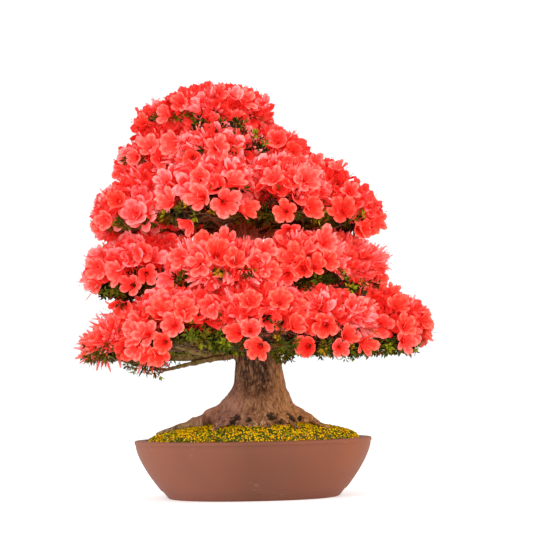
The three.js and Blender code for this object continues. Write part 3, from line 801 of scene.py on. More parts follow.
# %% Pads
# name, x, y, under, along, across, tall, slope, height its bough leaves the trunk, bough's radius, hem, straps
PADS = [
    ("low_left", -140, -22, 232, 168, 160, 118, 0.1, 252, 13, 0.15, 0.2),
    ("low_left_tip", -232, -26, 220, 116, 136, 88, 0.4, 236, 8, 0.05, 0.8),
    ("low_front_left", -112, -148, 228, 148, 176, 116, 0.1, 268, 9, 0.35, 0.3),
    ("low_front", 12, -158, 230, 156, 182, 116, 0.1, 250, 10, 0.25, 0.2),
    ("low_front_right", 130, -122, 231, 142, 160, 116, 0.1, 272, 10, 0.12, 0.4),
    ("low_right", 204, 8, 234, 216, 160, 118, 0.15, 256, 12, 0.05, 0.1),
    ("low_back_right", 138, 138, 234, 150, 148, 117, 0.1, 270, 9, 0.1, 0.3),
    ("low_back", 8, 166, 232, 150, 158, 119, 0.1, 254, 10, 0.15, 0.3),
    ("low_back_left", -128, 128, 234, 156, 148, 117, 0.1, 272, 10, 0.15, 0.3),
    ("mid_left", -184, -12, 336, 206, 156, 114, 0.25, 345, 11, 0.0, 0.2),
    ("mid_front", -44, -138, 334, 144, 190, 86, 0.1, 352, 9, -0.3, 0.7),
    ("mid_front_right", 92, -104, 334, 140, 158, 100, 0.1, 338, 9, 0.12, 0.2),
    ("mid_right", 151, 18, 338, 180, 140, 110, 0.2, 356, 11, -0.25, 0.9),
    ("mid_back_right", 72, 136, 340, 144, 160, 108, 0.1, 340, 9, 0.1, 0.4),
    ("mid_back_left", -88, 124, 342, 150, 166, 108, 0.1, 362, 9, 0.1, 0.4),
    ("high_left", -174, -8, 434, 198, 156, 136, 0.4, 446, 12, -0.1, 0.1),
    ("high_front", -66, -112, 438, 136, 178, 126, 0.1, 462, 9, 0.18, 0.1),
    ("high_front_right", 62, -92, 440, 136, 160, 122, 0.1, 448, 8, 0.12, 0.1),
    ("high_right", 142, 14, 438, 188, 144, 136, 0.6, 432, 10, 0.0, 0.2),
    ("high_back", -18, 112, 448, 136, 180, 124, 0.1, 458, 9, 0.15, 0.3),
    ("crown_left", -148, 0, 552, 160, 140, 84, 0.45, 538, 7, -0.3, 0.4),
    ("crown_front", -52, -84, 545, 116, 160, 72, 0.1, 552, 6, -0.4, 0.7),
    ("crown_right", 44, 0, 542, 146, 140, 94, 0.4, 532, 7, -0.3, 0.2),
    ("crown_back", -48, 84, 550, 116, 146, 84, 0.1, 560, 6, 0.1, 0.4),
    ("apex", -76, 0, 620, 246, 184, 84, 0.6, None, 8, -0.45, 0.5),
]
BELLY = 0.22  # the share of a pad's height that is below its widest level
BELLY_INSET = 0.4  # a belly is drawn in less than the rest
PAD_FULLNESS = 0.7
PAD_MIDDLE = 0.28  # how far the middle lies above the widest level, as a share of the height
STEM_START, STEM_END = (10, 0.3), (24, 0.75)  # how far inside the outline, and how high in the belly
TRUNK_TOP = Vector((-54, 0, 640))


# %% [markdown]
# A place on a dome is given by its longitude, which is 0 at the end away from the trunk, and its rise,
# which is 1 at the top, 0 at the widest level and -1 at the bottom.

# %% A pad's dome
class Pad:
    """A pad's frame. out points away from the trunk, side across it."""

    def __init__(self, row):
        (self.name, x, y, self.under, self.along, self.across, self.tall, self.slope, leaves, self.bough,
         self.hem, self.straps) = row
        self.top_pad = leaves is None
        cx, cy, _ = trunk_centre(self.under if self.top_pad else leaves)
        self.widest = Vector((x, y, self.under + BELLY * self.tall))
        self.out = Vector((-1, 0, 0)) if self.top_pad else Vector((x - cx, y - cy, 0)).normalized()
        self.side = UP.cross(self.out)
        self.tier = "top" if self.top_pad else self.name.split("_")[0]
        if self.tier == "low" and y > 50:
            self.tier = "low_rear"

    def dome(self, longitude, rise, inset=0.0):
        """A point in millimetres. rise is the sine of the latitude, inset how far in from the skin."""
        ring = max(0.0, 1 - rise * rise) ** (PAD_FULLNESS / 2)
        height = math.copysign(abs(rise) ** PAD_FULLNESS, rise)
        outward = max(0.0, math.cos(longitude)) * ring
        top = (1 - BELLY) * self.tall * (1 - self.slope * outward) - inset
        lift = top if rise > 0 else BELLY * self.tall - inset * BELLY_INSET
        return (self.widest + self.out * math.cos(longitude) * ring * (self.along / 2 - inset)
                + self.side * math.sin(longitude) * ring * (self.across / 2 - inset) + UP * height * lift)

    def facing(self, longitude, rise, lowest=-1.0):
        """The direction straight out of the dome, turned up where it looks down more than lowest."""
        step = 0.01
        east = self.dome(longitude + step, rise) - self.dome(longitude - step, rise)
        north = self.dome(longitude, min(rise + step, 0.999)) - self.dome(longitude, rise - step)
        way = east.cross(north).normalized()
        way.z = max(way.z, lowest)
        return way.normalized()

    def area(self, low):
        """The area of the dome above low, roughly, in square millimetres."""
        a, b, c = self.along / 2, self.across / 2, (1 - BELLY) * self.tall
        p = 1.6  # an ellipsoid's area from its half axes
        return math.tau * (((a * b) ** p + (a * c) ** p + (b * c) ** p) / 3) ** (1 / p) * (1 - low)

    def rises(self, low, count):
        """Values of rise from the top down to low, so spaced that each stands for the same area."""
        angles = np.linspace(math.pi / 2, math.asin(low), 90)
        rings = np.cos(angles).clip(0) ** PAD_FULLNESS * (self.along + self.across) / 4
        heights = np.sign(angles) * np.abs(np.sin(angles)) ** PAD_FULLNESS * (1 - BELLY) * self.tall
        strips = (rings[1:] + rings[:-1]) / 2 * np.hypot(np.diff(rings), np.diff(heights))
        shares = np.concatenate([[0], np.cumsum(strips)]) / strips.sum()
        return np.sin(np.interp((np.arange(count) + 0.5) / count, shares, angles))

    def holds(self, place, inset):
        """Whether a place lies deeper in the pad than inset."""
        offset = place - self.widest
        a = offset.dot(self.out) / (self.along / 2 - inset)
        b = offset.dot(self.side) / (self.across / 2 - inset)
        top = (1 - BELLY) * self.tall * (1 - self.slope * max(0.0, a)) - inset
        lift = top if offset.z > 0 else BELLY * self.tall - inset * BELLY_INSET
        power = 2 / PAD_FULLNESS
        return (a * a + b * b) ** (power / 2) + abs(offset.z / lift) ** power < 1

    def stem(self):
        """The stem's two ends, from the bough's tip along the underside to the far edge."""
        ends = []
        for hand, (inside, height) in ((-1, STEM_START), (1, STEM_END)):
            ends.append(self.widest + self.out * hand * (self.along / 2 - inside))
            ends[-1].z = self.under + height * BELLY * self.tall
        return (TRUNK_TOP if self.top_pad else ends[0]), ends[1]


pads = [Pad(row) for row in PADS]
TIERS = ("low", "low_rear", "mid", "high", "crown", "top")
print("pads:", len(pads))

# %% [markdown]
# ## Twigs
#
# Under the blossom each pad is a fan of fine twigs, dense and dark after years of clipping. A stem runs
# out from the bough, ribs leave it left and right, and short twiglets rise from the ribs to the flowers.
# Each twig is a chain of points with a radius, and a small tree turns the chains into tubes: Mesh to
# Curve, then Curve to Mesh with a three- or four-sided profile that the radius scales.

# %% The tube tree
def tube_tree(material):
    tree, start = new_tree("twig_tubes", ("Chains", "Geometry", None), ("Sides", "Int", 4))
    radius = add(tree, "GeometryNodeInputNamedAttribute", {"Name": "girth"}, data_type="FLOAT")
    curve = add(tree, "GeometryNodeMeshToCurve", {0: start["Chains"]})
    circle = add(tree, "GeometryNodeCurvePrimitiveCircle", {"Resolution": start["Sides"], "Radius": 1.0})
    tubes = add(tree, "GeometryNodeCurveToMesh", {"Curve": curve.outputs[0], "Scale": radius.outputs[0],
                                                  "Profile Curve": circle.outputs[0], "Fill Caps": True})
    smooth_faces = add(tree, "GeometryNodeSetShadeSmooth", {0: tubes.outputs[0]})
    return end_tree(tree, smooth_faces.outputs[0], [material])


def tubes(name, chains, tree, sides):
    """Tubes along chains of (place in mm, radius in mm)."""
    points, edges, girths = [], [], []
    for chain in chains:
        first = len(points)
        points += [Vector(place) * MM for place, _ in chain]
        girths += [radius * MM for _, radius in chain]
        edges += [(first + k, first + k + 1) for k in range(len(chain) - 1)]
    mesh = bpy.data.meshes.new(name + "_chains")
    mesh.from_pydata([tuple(p) for p in points], edges, [])
    mesh.attributes.new("girth", "FLOAT", "POINT").data.foreach_set("value", girths)
    return run_tree(name, mesh, tree, {"Sides": sides})


# %% Grow the twigs
# How thick a stem starts, as a share of its bough, its end's radius and how far the end drops.
USUAL_STEM = (0.55, 2.4, 0.0)
STEMS = {"low_left": (0.8, 8.0, 21.0)}
RIBS = 16  # on a stem
TWIGLETS = 13  # on a rib
RIB_RADII, TWIGLET_RADII = (2.4, 0.9), (1.0, 0.45)  # at foot and tip


def bend(start, end, sag, steps, wobble, chance):
    """Points from start to end, bowed by sag and shaken by wobble."""
    chain = []
    for k in range(steps + 1):
        t = k / steps
        place = start.lerp(end, t) + UP * sag * math.sin(math.pi * t)
        if 0 < k < steps:
            place += Vector((chance.uniform(-1, 1), chance.uniform(-1, 1), chance.uniform(-1, 1))) * wobble
        chain.append(place)
    return chain


def point_along(line, share):
    """The point at a share of the way along a line of points."""
    steps = len(line) - 1
    k = min(steps - 1, int(share * steps))
    return line[k].lerp(line[k + 1], (share * steps) % 1)


def tapered(line, thick, thin):
    """A chain: the line's points, each with its radius."""
    return [(place, mix(thick, thin, k / (len(line) - 1))) for k, place in enumerate(line)]


def grow_twigs(pad, chance):
    """The chains of a pad: its stem, its ribs and its twiglets."""
    start, end = pad.stem()
    share, thin, drop = STEMS.get(pad.name, USUAL_STEM)
    start, end = start - UP * drop * 0.3, end - UP * drop
    stem = bend(start, end, 10 if pad.top_pad else 4, 6, 3, chance)
    ribs, twiglets = [], []
    for rib in range(RIBS):
        at = (rib + 0.5) / RIBS
        hand = 1 if rib % 2 else -1
        longitude = hand * mix(2.7, 0.2, at) + chance.uniform(-0.2, 0.2)
        tip = pad.dome(longitude, chance.uniform(-0.5, 0.1), chance.uniform(14, 26))
        line = bend(point_along(stem, at), tip, chance.uniform(-4, 3), 4, 3.5, chance)
        ribs.append(tapered(line, *RIB_RADII))
        for _ in range(TWIGLETS):
            foot = point_along(line, chance.uniform(0.1, 1.0))
            turn = longitude + chance.uniform(-0.9, 0.9)
            reach = pad.dome(turn, chance.uniform(-0.85, 0.5), chance.uniform(6, 26)) - foot
            target = foot + reach * min(1.0, chance.uniform(25, 60) / max(reach.length, 1))
            twiglets.append(tapered(bend(foot, target, chance.uniform(-3, 6), 3, 2.5, chance), *TWIGLET_RADII))
    return tapered(stem, pad.bough * share, thin), ribs, twiglets


chance = random.Random(11)
stem_chains, rib_chains, fine_chains = [], [], []
for pad in pads:
    stem, ribs, twiglets = grow_twigs(pad, chance)
    stem_chains.append(stem)
    rib_chains += ribs
    fine_chains += twiglets
print("twigs:", len(stem_chains), "stems,", len(rib_chains), "ribs and", len(fine_chains), "twiglets")

# %% [markdown]
# Twig bark is thin and dull. It is darker than the trunk's and slightly green with algae. The twigs are
# too thin for a pattern to show, so they take plain browns: one for the ribs, a dark one for the old
# twiglets and a pale one for the young.

# %% Twig pieces
pad_nodes = ["pad_" + pad.name for pad in pads]
for name, chains, bark_of, sides in (
        ("pad_stems", stem_chains, azalea_bark, 10),
        ("twig_ribs", rib_chains, plain("rib_bark", "5a4227", 0.85), 5),
        ("twiglets_old", fine_chains[::2], plain("old_twig_bark", "3a2a18", 0.85), 3),
        ("twiglets_young", fine_chains[1::2], plain("young_twig_bark", "86683c", 0.85), 3)):
    twigs = new_object(name, tubes(name, chains, tube_tree(bark_of), sides))
    print(name, triangles(twigs.data), "triangles")
    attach(twigs, "root")
    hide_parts(*pad_nodes)

# %% [markdown]
# ## Roots on the moss
#
# Old roots run out over the mound before they dive in. Each is a chain of points that wanders away from
# the trunk, keeps its axis at the level of the moss and gets thinner, in the trunk's bark.

# %% Surface roots
ROOT_STEPS = 12
# where it leaves the trunk, where it dives in, radius
ROOTS = [((-78, -30), (-160, -20), 11), ((84, -42), (128, -62), 4.5), ((-40, -66), (-66, -98), 4),
         ((20, -72), (26, -96), 3.5), ((56, -62), (78, -94), 3.5), ((-84, 26), (-138, 46), 6),
         ((-20, 66), (-34, 104), 5), ((50, 60), (76, 92), 5), ((88, 20), (110, 25), 5)]
chance = random.Random(5)
root_chains = []
for (x, y), (end_x, end_y), girth in ROOTS:
    chain = []
    for k in range(ROOT_STEPS + 1):
        t = k / ROOT_STEPS
        sway = math.sin(t * math.pi * 2.2) * 5
        px = mix(x, end_x, t) + sway * 0.3 + chance.uniform(-0.8, 0.8)
        py = mix(y, end_y, t) + sway + chance.uniform(-0.8, 0.8)
        radius = girth * mix(1, 0.35, t) * chance.uniform(0.9, 1.12)
        level = moss_height(px, py) + mix(4, 1, t) - mix(0, radius * 0.4, t)
        chain.append((Vector((px, py, level)), radius))
    root_chains.append(chain)
roots = new_object("surface_roots", tubes("surface_roots", root_chains, tube_tree(azalea_bark), 9))
print("roots:", len(root_chains), triangles(roots.data), "triangles")
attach(roots, "root")
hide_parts("trunk")

# %% [markdown]
# ## The large flowers at the front
#
# Where a pad ends, the flowers have room to hang and open fully, so the largest ones line the hems. Those
# at the front are placed one by one, and leaves and the other flowers keep clear of them.

# %% Front flowers
# Large flowers that open towards the front, most of them hanging over a hem: x, y, z of the mouth, size.
FRONT_FLOWERS = [
    (-43, -79, 671, 0.72), (-21, -75, 667, 0.72), (0, -69, 660, 0.85), (-136, -80, 637, 0.88),
    (-110, -84, 655, 0.72), (-85, -91, 644, 0.85), (29, -45, 659, 0.72), (-61, -81, 627, 0.85),
    (-19, -81, 634, 0.85), (-177, -47, 631, 0.72), (-162, -68, 585, 0.94), (-122, -102, 581, 1.14),
    (-189, -60, 568, 0.72), (-86, -153, 545, 0.85), (-47, -142, 565, 0.85), (51, -67, 592, 0.94),
    (76, -63, 571, 0.85), (-142, -69, 565, 0.89), (-127, -150, 478, 0.95), (-74, -181, 478, 1.04),
    (-34, -183, 468, 1.13), (-2, -169, 460, 0.97), (59, -162, 456, 0.89), (101, -147, 464, 0.98),
    (155, -56, 473, 1.15), (-96, -140, 440, 0.85), (216, -24, 455, 0.88), (-186, -85, 469, 1.15),
    (152, -40, 550, 0.72), (94, -148, 508, 0.98), (-216, -77, 494, 0.89), (-238, -68, 462, 0.89),
    (172, -44, 507, 0.72), (-19, -176, 505, 0.89), (-74, -177, 510, 0.85), (-132, -138, 514, 0.85),
    (41, -160, 511, 0.85), (-46, -206, 385, 1.15), (69, -175, 379, 1.15), (122, -153, 409, 1.01),
    (-250, -73, 382, 0.93), (-218, -87, 372, 0.97), (-193, -88, 351, 0.85), (-127, -160, 351, 0.85),
    (-175, -85, 404, 0.92), (-131, -65, 421, 0.9), (33, -188, 357, 0.86), (-177, -186, 264, 0.85),
    (-157, -206, 265, 0.85), (-114, -225, 276, 0.85), (-140, -194, 232, 0.85), (-177, -184, 245, 0.85),
    (70, -217, 273, 0.85), (97, -192, 277, 0.85), (255, -61, 278, 0.9), (139, -184, 239, 0.72),
    (65, -145, 424, 0.85), (-69, -180, 407, 0.85), (-36, -181, 411, 0.85), (-20, -210, 375, 0.85),
    (-74, -203, 369, 0.85), (-106, -179, 384, 0.85), (26, -184, 392, 0.85), (-154, -83, 396, 0.85),
    (-156, -186, 234, 0.86), (-201, -84, 249, 1.05), (-130, -221, 250, 0.85), (-19, -231, 262, 0.85),
    (3, -235, 267, 0.85), (13, -226, 239, 0.93), (87, -191, 241, 0.95), (116, -197, 272, 0.99),
    (151, -191, 257, 0.86), (180, -169, 245, 0.92), (214, -71, 278, 1.06), (244, -58, 312, 0.93),
    (-59, -209, 304, 0.86), (-133, -216, 296, 1.01), (-177, -184, 280, 0.94), (48, -219, 311, 0.85),
    (291, -36, 287, 0.72), (164, -177, 304, 0.85), (2, -225, 311, 0.85), (-97, -222, 298, 0.85),
    (-212, -62, 318, 0.94), (-217, -9, 562, 0.8), (-216, -30, 548, 0.75), (-246, -26, 446, 0.75),
    (-255, -42, 456, 0.75), (-234, -12, 444, 0.7), (116, -30, 560, 0.7), (189, -28, 444, 0.85),
    (199, -28, 445, 0.75), (-262, -49, 369, 0.75), (-254, -62, 355, 0.75), (240, -34, 335, 0.75),
    (256, -55, 252, 0.85), (262, -47, 272, 0.8), (60, -174, 353, 0.85), (84, -177, 364, 0.9),
    (104, -175, 368, 0.85), (126, -165, 376, 0.8), (-104, -70, 424, 0.9), (-165, -100, 366, 0.85),
]


def crowded(place, clearance=13):
    """Whether a flower here would hide one of the large flowers at the front."""
    return any(math.dist(place, flower[:3]) < clearance * flower[3] for flower in FRONT_FLOWERS)


# Places where the blossom parts and leaves show: x, y, z, radius.
GAPS = [(-74, -117, 607, 14), (-14, -124, 602, 13), (-43, -127, 604, 8), (12, -122, 577, 16),
        (33, -69, 570, 7), (-175, -89, 364, 16), (-216, -69, 342, 18), (-238, -71, 346, 10),
        (-103, -184, 345, 13), (-146, -83, 370, 8), (88, -172, 342, 9), (118, -170, 352, 9),
        (150, -162, 329, 14), (170, -150, 325, 10)]
# Notches in the outline that stay open to the sky: x, z, radius.
NOTCHES = [(-87, 704, 15), (-212, 601, 21), (184, 536, 18), (-284, 346, 18), (-262, 340, 12),
           (232, 366, 18), (303, 246, 25), (-298, 243, 10)]
NOTCH_DEPTH = 110  # they don't reach round to the back


def in_gap(place, spare):
    return any(math.dist(place, gap[:3]) < gap[3] + spare for gap in GAPS)


def in_notch(place):
    return abs(place.y) < NOTCH_DEPTH and any(math.hypot(place.x - x, place.z - z) < radius
                                              for x, z, radius in NOTCHES)


def tier_at(place):
    """The tier of the pad that is nearest to a place."""
    return min(pads, key=lambda pad: (place - pad.widest - UP * pad.tall * PAD_MIDDLE).length).tier


print("front flowers:", len(FRONT_FLOWERS), "gaps:", len(GAPS), "notches:", len(NOTCHES))

# %% [markdown]
# ## Leaves
#
# Azalea leaves are small, narrow and pointed, and sit in whorls at the ends of the twigs. They show at the
# edge and the underside of each pad and in the gaps between flowers. One model is a whorl of six leaves,
# each of four faces folded along the midrib. A whorl takes one of six colours, from the yellow green of
# new growth to the brown of last year's leaves, so the colour changes from spray to spray. Deeper in sit
# old leaves in two near-black colours, painted shade for the little light that gets in there: they keep
# the underside from looking hollow.

# %% Leaf models
WHORL_LEAVES = 6


def whorl_model(seed, skin_number):
    chance = random.Random(seed)
    points, faces = [], []
    for leaf in range(WHORL_LEAVES):
        turn = math.tau * leaf / WHORL_LEAVES + chance.uniform(-0.4, 0.4)
        length = chance.uniform(9, 16)
        width = length * chance.uniform(0.26, 0.34)
        lift = chance.uniform(0.1, 1.1)
        way = Vector((math.cos(turn) * math.cos(lift), math.sin(turn) * math.cos(lift), math.sin(lift)))
        side = way.cross(UP).normalized()
        back = side.cross(way)
        foot = way * 1.5
        tip = way * length - UP * chance.uniform(0, 2.5)
        middle = foot.lerp(tip, 0.5)
        first = len(points)
        points += [foot, middle + side * width / 2 + back * width * 0.2, tip,
                   middle - side * width / 2 + back * width * 0.2, middle]
        faces += [(first, first + 1, first + 4), (first + 1, first + 2, first + 4),
                  (first + 2, first + 3, first + 4), (first + 3, first, first + 4)]
    mesh = mesh_from(f"whorl_{seed}", [Vector(p) * MM for p in points], faces, False)
    return number_faces(mesh, [skin_number] * len(faces))


# shade and umber are near-black: painted shade for the old leaves deep inside.
LEAF_COLOURS = {"fresh": "868a0c", "green": "566009", "deep": "303806", "olive": "68500a", "brown": "683408",
                "gold": "b08c10", "shade": "1d1d04", "umber": "2a1805"}
leaf_materials = [plain("leaf_" + name, colour, 0.6, Specular_IOR_Level=0.1)
                  for name, colour in LEAF_COLOURS.items()]
WHORL_SKINS = [0, 1, 2, 3, 4, 5, 1, 2, 2, 3, 1, 2, 6, 7, 6, 7]  # the number of each model's colour
OUTER_WHORLS, INNER_WHORLS = range(12), range(12, 16)
whorls = model_collection("whorl", [whorl_model(seed, number) for seed, number in enumerate(WHORL_SKINS)])
leaf_tree = scatter_tree("leaf_scatter", leaf_materials)


# %% Where leaves may grow
def free(place, pad, inset, trunk_gap=8):
    """Whether a place is clear of the trunk and not buried in another pad."""
    cx, cy, radius = trunk_centre(place.z)
    if place.z < TRUNK_TOP.z and math.hypot(place.x - cx, place.y - cy) < radius + trunk_gap:
        return False
    return not any(other is not pad and other.holds(place, inset) for other in pads)


def shaken(facing, chance, amount):
    return facing + Vector([chance.uniform(-amount, amount) for _ in range(3)])


def any_turn(chance):
    return chance.uniform(0, math.tau)


LOWEST_LOOK = -0.2  # what hangs under a hem grows from the middle of the pad, outwards and hardly down
# How far the fringe of leaves is lifted, in millimetres. A minus sign is a fringe that hangs.
USUAL_LIFT = -1
FRINGE_LIFT = {"low_front_left": 12, "low_front": -2, "low_front_right": -7, "low_right": -7, "low_left": -3,
               "low_left_tip": 4, "mid_left": -6, "mid_front": 10, "mid_right": -4, "high_front": 4,
               "high_left": 5, "crown_left": 4, "crown_front": 6, "crown_right": 4, "apex": 4}
# Leaves of three sorts: under the hem, old ones in the shade behind those, and some among the flowers. Each
# sort has so many square millimetres of the pad's plan for a whorl, and sits so far inside the pad's skin.
FRINGE_AREA, SHADE_AREA, AMONG_AREA = 115, 150, 330
FRINGE_DEPTH, SHADE_DEPTH, AMONG_DEPTH = (7, 20), (26, 34), (26, 36)
LEAF_INSET = 24  # leaves deeper than this in another pad are left out
FLOWER_ROOM = 24  # and those nearer than this to the middle of a large flower
GAP_DEPTH = (8, 26)  # how far behind the skin the leaves in a gap are


# %% Leaves of one pad
def leaf_spots(pad, chance):
    spots = []
    area = math.pi * pad.along * pad.across / 4
    lift = UP * FRINGE_LIFT.get(pad.name, USUAL_LIFT)

    def spot(longitude, rise, depth, tilt, kinds, lift=lift):
        out = pad.facing(longitude, rise, LOWEST_LOOK)
        facing = pad.facing(longitude, rise) + Vector((0, 0, chance.uniform(-0.2, tilt)))
        spots.append((pad.dome(longitude, rise) - out * depth + lift, facing, any_turn(chance),
                      chance.uniform(0.75, 1.1), chance.choice(kinds)))

    for _ in range(int(area / FRINGE_AREA)):
        spot(any_turn(chance), chance.triangular(-0.85, pad.hem + 0.1, -0.2), chance.uniform(*FRINGE_DEPTH),
             0.8, OUTER_WHORLS)
    for _ in range(int(area / SHADE_AREA)):
        spot(any_turn(chance), chance.uniform(-0.7, pad.hem + 0.15), chance.uniform(*SHADE_DEPTH), 0.4,
             INNER_WHORLS)
    for _ in range(int(area / AMONG_AREA)):
        spot(any_turn(chance), chance.uniform(0.1, 0.98), chance.uniform(*AMONG_DEPTH), 0, OUTER_WHORLS,
             UP * 0)
    return [(place * MM, *rest) for place, *rest in spots
            if free(place, pad, LEAF_INSET) and not crowded(place, FLOWER_ROOM) and not in_notch(place)]


# %% Leaves in the gaps, and sprays
def gap_spots(tier, chance):
    """Whorls in the gaps of a tier's blossom, at two depths behind the skin."""
    spots = []
    for x, y, z, radius in GAPS:
        if tier_at(Vector((x, y, z))) != tier:
            continue
        for k in range(int(radius * radius / 7)):
            turn, reach = any_turn(chance), radius * math.sqrt(chance.random()) * 1.1
            place = Vector((x + reach * math.cos(turn), y + chance.uniform(*GAP_DEPTH),
                            z + reach * math.sin(turn)))
            facing = shaken(Vector((0, -1, 0.3)), chance, 0.6)
            # Every other whorl is an inner one, near-black as painted shade.
            spots.append((place * MM, facing, any_turn(chance), chance.uniform(0.7, 1.0),
                          chance.choice(OUTER_WHORLS if k % 2 else INNER_WHORLS)))
    return spots


# Sprays of leaves: x, y, z, radius.
SPRAYS = [(-204, -28, 224, 13), (-188, -28, 222, 14), (-172, -28, 223, 14), (-156, -27, 222, 13),
          (-140, -26, 228, 11), (-174, -30, 212, 4), (-160, -30, 210, 4), (46, -48, 234, 13),
          (64, -42, 233, 12), (97, -70, 237, 8), (114, -70, 235, 8), (131, -70, 236, 8), (155, -60, 234, 9),
          (168, -60, 235, 8), (181, -60, 235, 8), (197, -50, 238, 7), (214, -45, 238, 7), (229, -45, 240, 7)]


def spray_spots(chance):
    """Small leafy sprays on the hanging limb on the left and under the pads on the right."""
    spots = []
    for x, y, z, radius in SPRAYS:
        for _ in range(int(radius * 1.3)):
            offset = Vector([chance.gauss(0, radius * 0.45) for _ in range(3)])
            facing = offset + Vector((0, -radius * 0.3, chance.uniform(-radius, radius) * 0.5))
            spots.append(((Vector((x, y, z)) + offset) * MM, facing, any_turn(chance), chance.uniform(0.6, 0.9),
                          chance.choice(OUTER_WHORLS)))
    return spots


# %% Place the whorls
chance = random.Random(23)
for tier in TIERS:
    spots = [spot for pad in pads if pad.tier == tier for spot in leaf_spots(pad, chance)]
    if tier == "low":
        spots += spray_spots(chance)
    spots += gap_spots(tier, chance)
    leaves = new_object("leaves_" + tier, scatter("leaves_" + tier, spots, leaf_tree, whorls))
    print(leaves.name, len(spots), "whorls,", triangles(leaves.data), "triangles")
    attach(leaves, "root")
    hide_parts(*["pad_" + pad.name for pad in pads if pad.tier == tier])

# %% [markdown]
# ## Flowers
#
# The flower is a wide funnel with five wavy lobes, coral red, deeper in the throat and paler at the edge,
# with long thin stamens. This tree also bears flowers whose petals are narrow straps, which look like
# spiders. A lobe is a strip of ten faces: narrow in the throat, broad further out, with a round wavy tip.
# Five lobes round the axis make the flower, so the notches between them come by themselves. A strap flower
# is six bent ribbons. Several models of each, with their own spread, roll and waves, keep the mass from
# looking stamped.

# %% Stamens
ZONES = 6
THROAT, INNER, OUTER, EDGE, FILAMENT, ANTHER = range(ZONES)
LOBES, STRAPS, STAMENS = 5, 6, 3
STAMEN_LENGTH = 42


def outwards(turn):
    """The directions away from the flower's axis and across that."""
    return Vector((math.cos(turn), math.sin(turn), 0)), Vector((-math.sin(turn), math.cos(turn), 0))


def stamens(points, faces, skins, tint, chance):
    """Thin filaments with a dark anther at the tip."""
    for _ in range(STAMENS):
        turn = any_turn(chance)
        lean = chance.uniform(0.1, 0.45)
        way = Vector((math.cos(turn) * lean, math.sin(turn) * lean, 1)).normalized()
        foot, tip = way * 10, way * chance.uniform(STAMEN_LENGTH * 0.8, STAMEN_LENGTH)
        across = way.orthogonal().normalized()
        beside = way.cross(across)
        corners = [across, across * -0.5 + beside * 0.87, across * -0.5 - beside * 0.87]
        first = len(points)
        points += [foot + corner * 0.45 for corner in corners] + [tip + corner * 0.3 for corner in corners]
        faces += [(first + a, first + (a + 1) % 3, first + 3 + (a + 1) % 3, first + 3 + a) for a in range(3)]
        skins += [tint * ZONES + FILAMENT] * 3
        first = len(points)
        points += [tip + corner * 0.75 for corner in corners] + [tip + way * 1.8]
        faces += [(first, first + 1, first + 3), (first + 1, first + 2, first + 3),
                  (first + 2, first, first + 3), (first, first + 2, first + 1)]
        skins += [tint * ZONES + ANTHER] * 4


# %% Open flowers
# A petal's rows from throat to tip: distance from the axis, height, half width and columns of points.
PETAL_ROWS = [(1.2, 0, 1.2, 2), (5.5, 12, 3.9, 2), (12.5, 20.5, 8.3, 4), (20.5, 26, 9.6, 4), (27.5, 28, 4.3, 4)]
# EDGE, the palest zone, is partly the petal's own paler margin and partly a painted highlight.
PETAL_SKINS = [(THROAT,), (INNER, INNER, INNER), (OUTER, INNER, OUTER), (EDGE, OUTER, EDGE)]


def open_bloom(seed, tint):
    chance = random.Random(seed)
    points, faces, skins = [], [], []
    spread = chance.uniform(0.66, 0.98)  # under 1 is a deeper, narrower funnel
    for petal in range(LOBES):
        out, side = outwards(math.tau * petal / LOBES + chance.uniform(-0.12, 0.12))
        long = chance.uniform(0.86, 1.1)
        lift = chance.uniform(-5, 6)
        roll = chance.uniform(-0.5, 0.5)
        rows = []
        for row, (radius, height, half, columns) in enumerate(PETAL_ROWS):
            flare = row / 4
            reach = radius * mix(1, spread * long, flare)
            rise = height + (1 - spread) * 14 * flare + lift * flare * flare + petal % 2 * 0.8
            across = side * math.cos(roll * flare) + UP * math.sin(roll * flare)
            rows.append(range(len(points), len(points) + columns))
            for share in ((-1, 1) if columns == 2 else (-1, -0.4, 0.4, 1)):
                place = out * reach + UP * rise + across * share * half
                if row >= 2:
                    place += (UP - out * 0.4) * share * share * 1.6  # cupped along its length
                    place += UP * chance.uniform(-1.4, 1.4)  # wavy
                points.append(place)
        for low, high, zones in zip(rows, rows[1:], PETAL_SKINS):
            if len(high) == 2:
                faces.append((low[0], low[1], high[1], high[0]))
            elif len(low) == 2:
                faces += [(low[0], high[1], high[0]), (low[0], low[1], high[2], high[1]),
                          (low[1], high[3], high[2])]
            else:
                faces += [(low[k], low[k + 1], high[k + 1], high[k]) for k in range(3)]
            skins += [tint * ZONES + zone for zone in zones]
    stamens(points, faces, skins, tint, chance)
    return number_faces(mesh_from(f"open_bloom_{seed}", [p * MM for p in points], faces), skins)


# %% Strap flowers
STRAP_WIDTHS = (1.2, 2.3, 2.9, 1.3)  # half widths from foot to tip


def strap_bloom(seed):
    chance = random.Random(seed)
    points, faces, skins = [], [], []
    for petal in range(STRAPS):
        tint = chance.randrange(2)
        out, side = outwards(math.tau * petal / STRAPS + chance.uniform(-0.5, 0.5))
        length = chance.uniform(30, 44)
        lean, curl = chance.uniform(0.1, 0.9), chance.uniform(-0.2, 0.3)
        twist = chance.uniform(-0.9, 0.9)
        first = len(points)
        place = UP * 2 + out * 1.2
        for k, half in enumerate(STRAP_WIDTHS):
            width = side * math.cos(twist * k * 0.5) + (UP * 0.5 - out) * math.sin(twist * k * 0.5)
            points += [place - width * half, place + width * half]
            place = place + (out * math.sin(lean) + UP * math.cos(lean)) * length / 3
            lean += curl
        for k, zone in enumerate((OUTER, OUTER, EDGE)):
            a = first + 2 * k
            faces.append((a, a + 1, a + 3, a + 2))
            skins.append(tint * ZONES + zone)
    stamens(points, faces, skins, 0, chance)
    return number_faces(mesh_from(f"strap_bloom_{seed}", [p * MM for p in points], faces), skins)
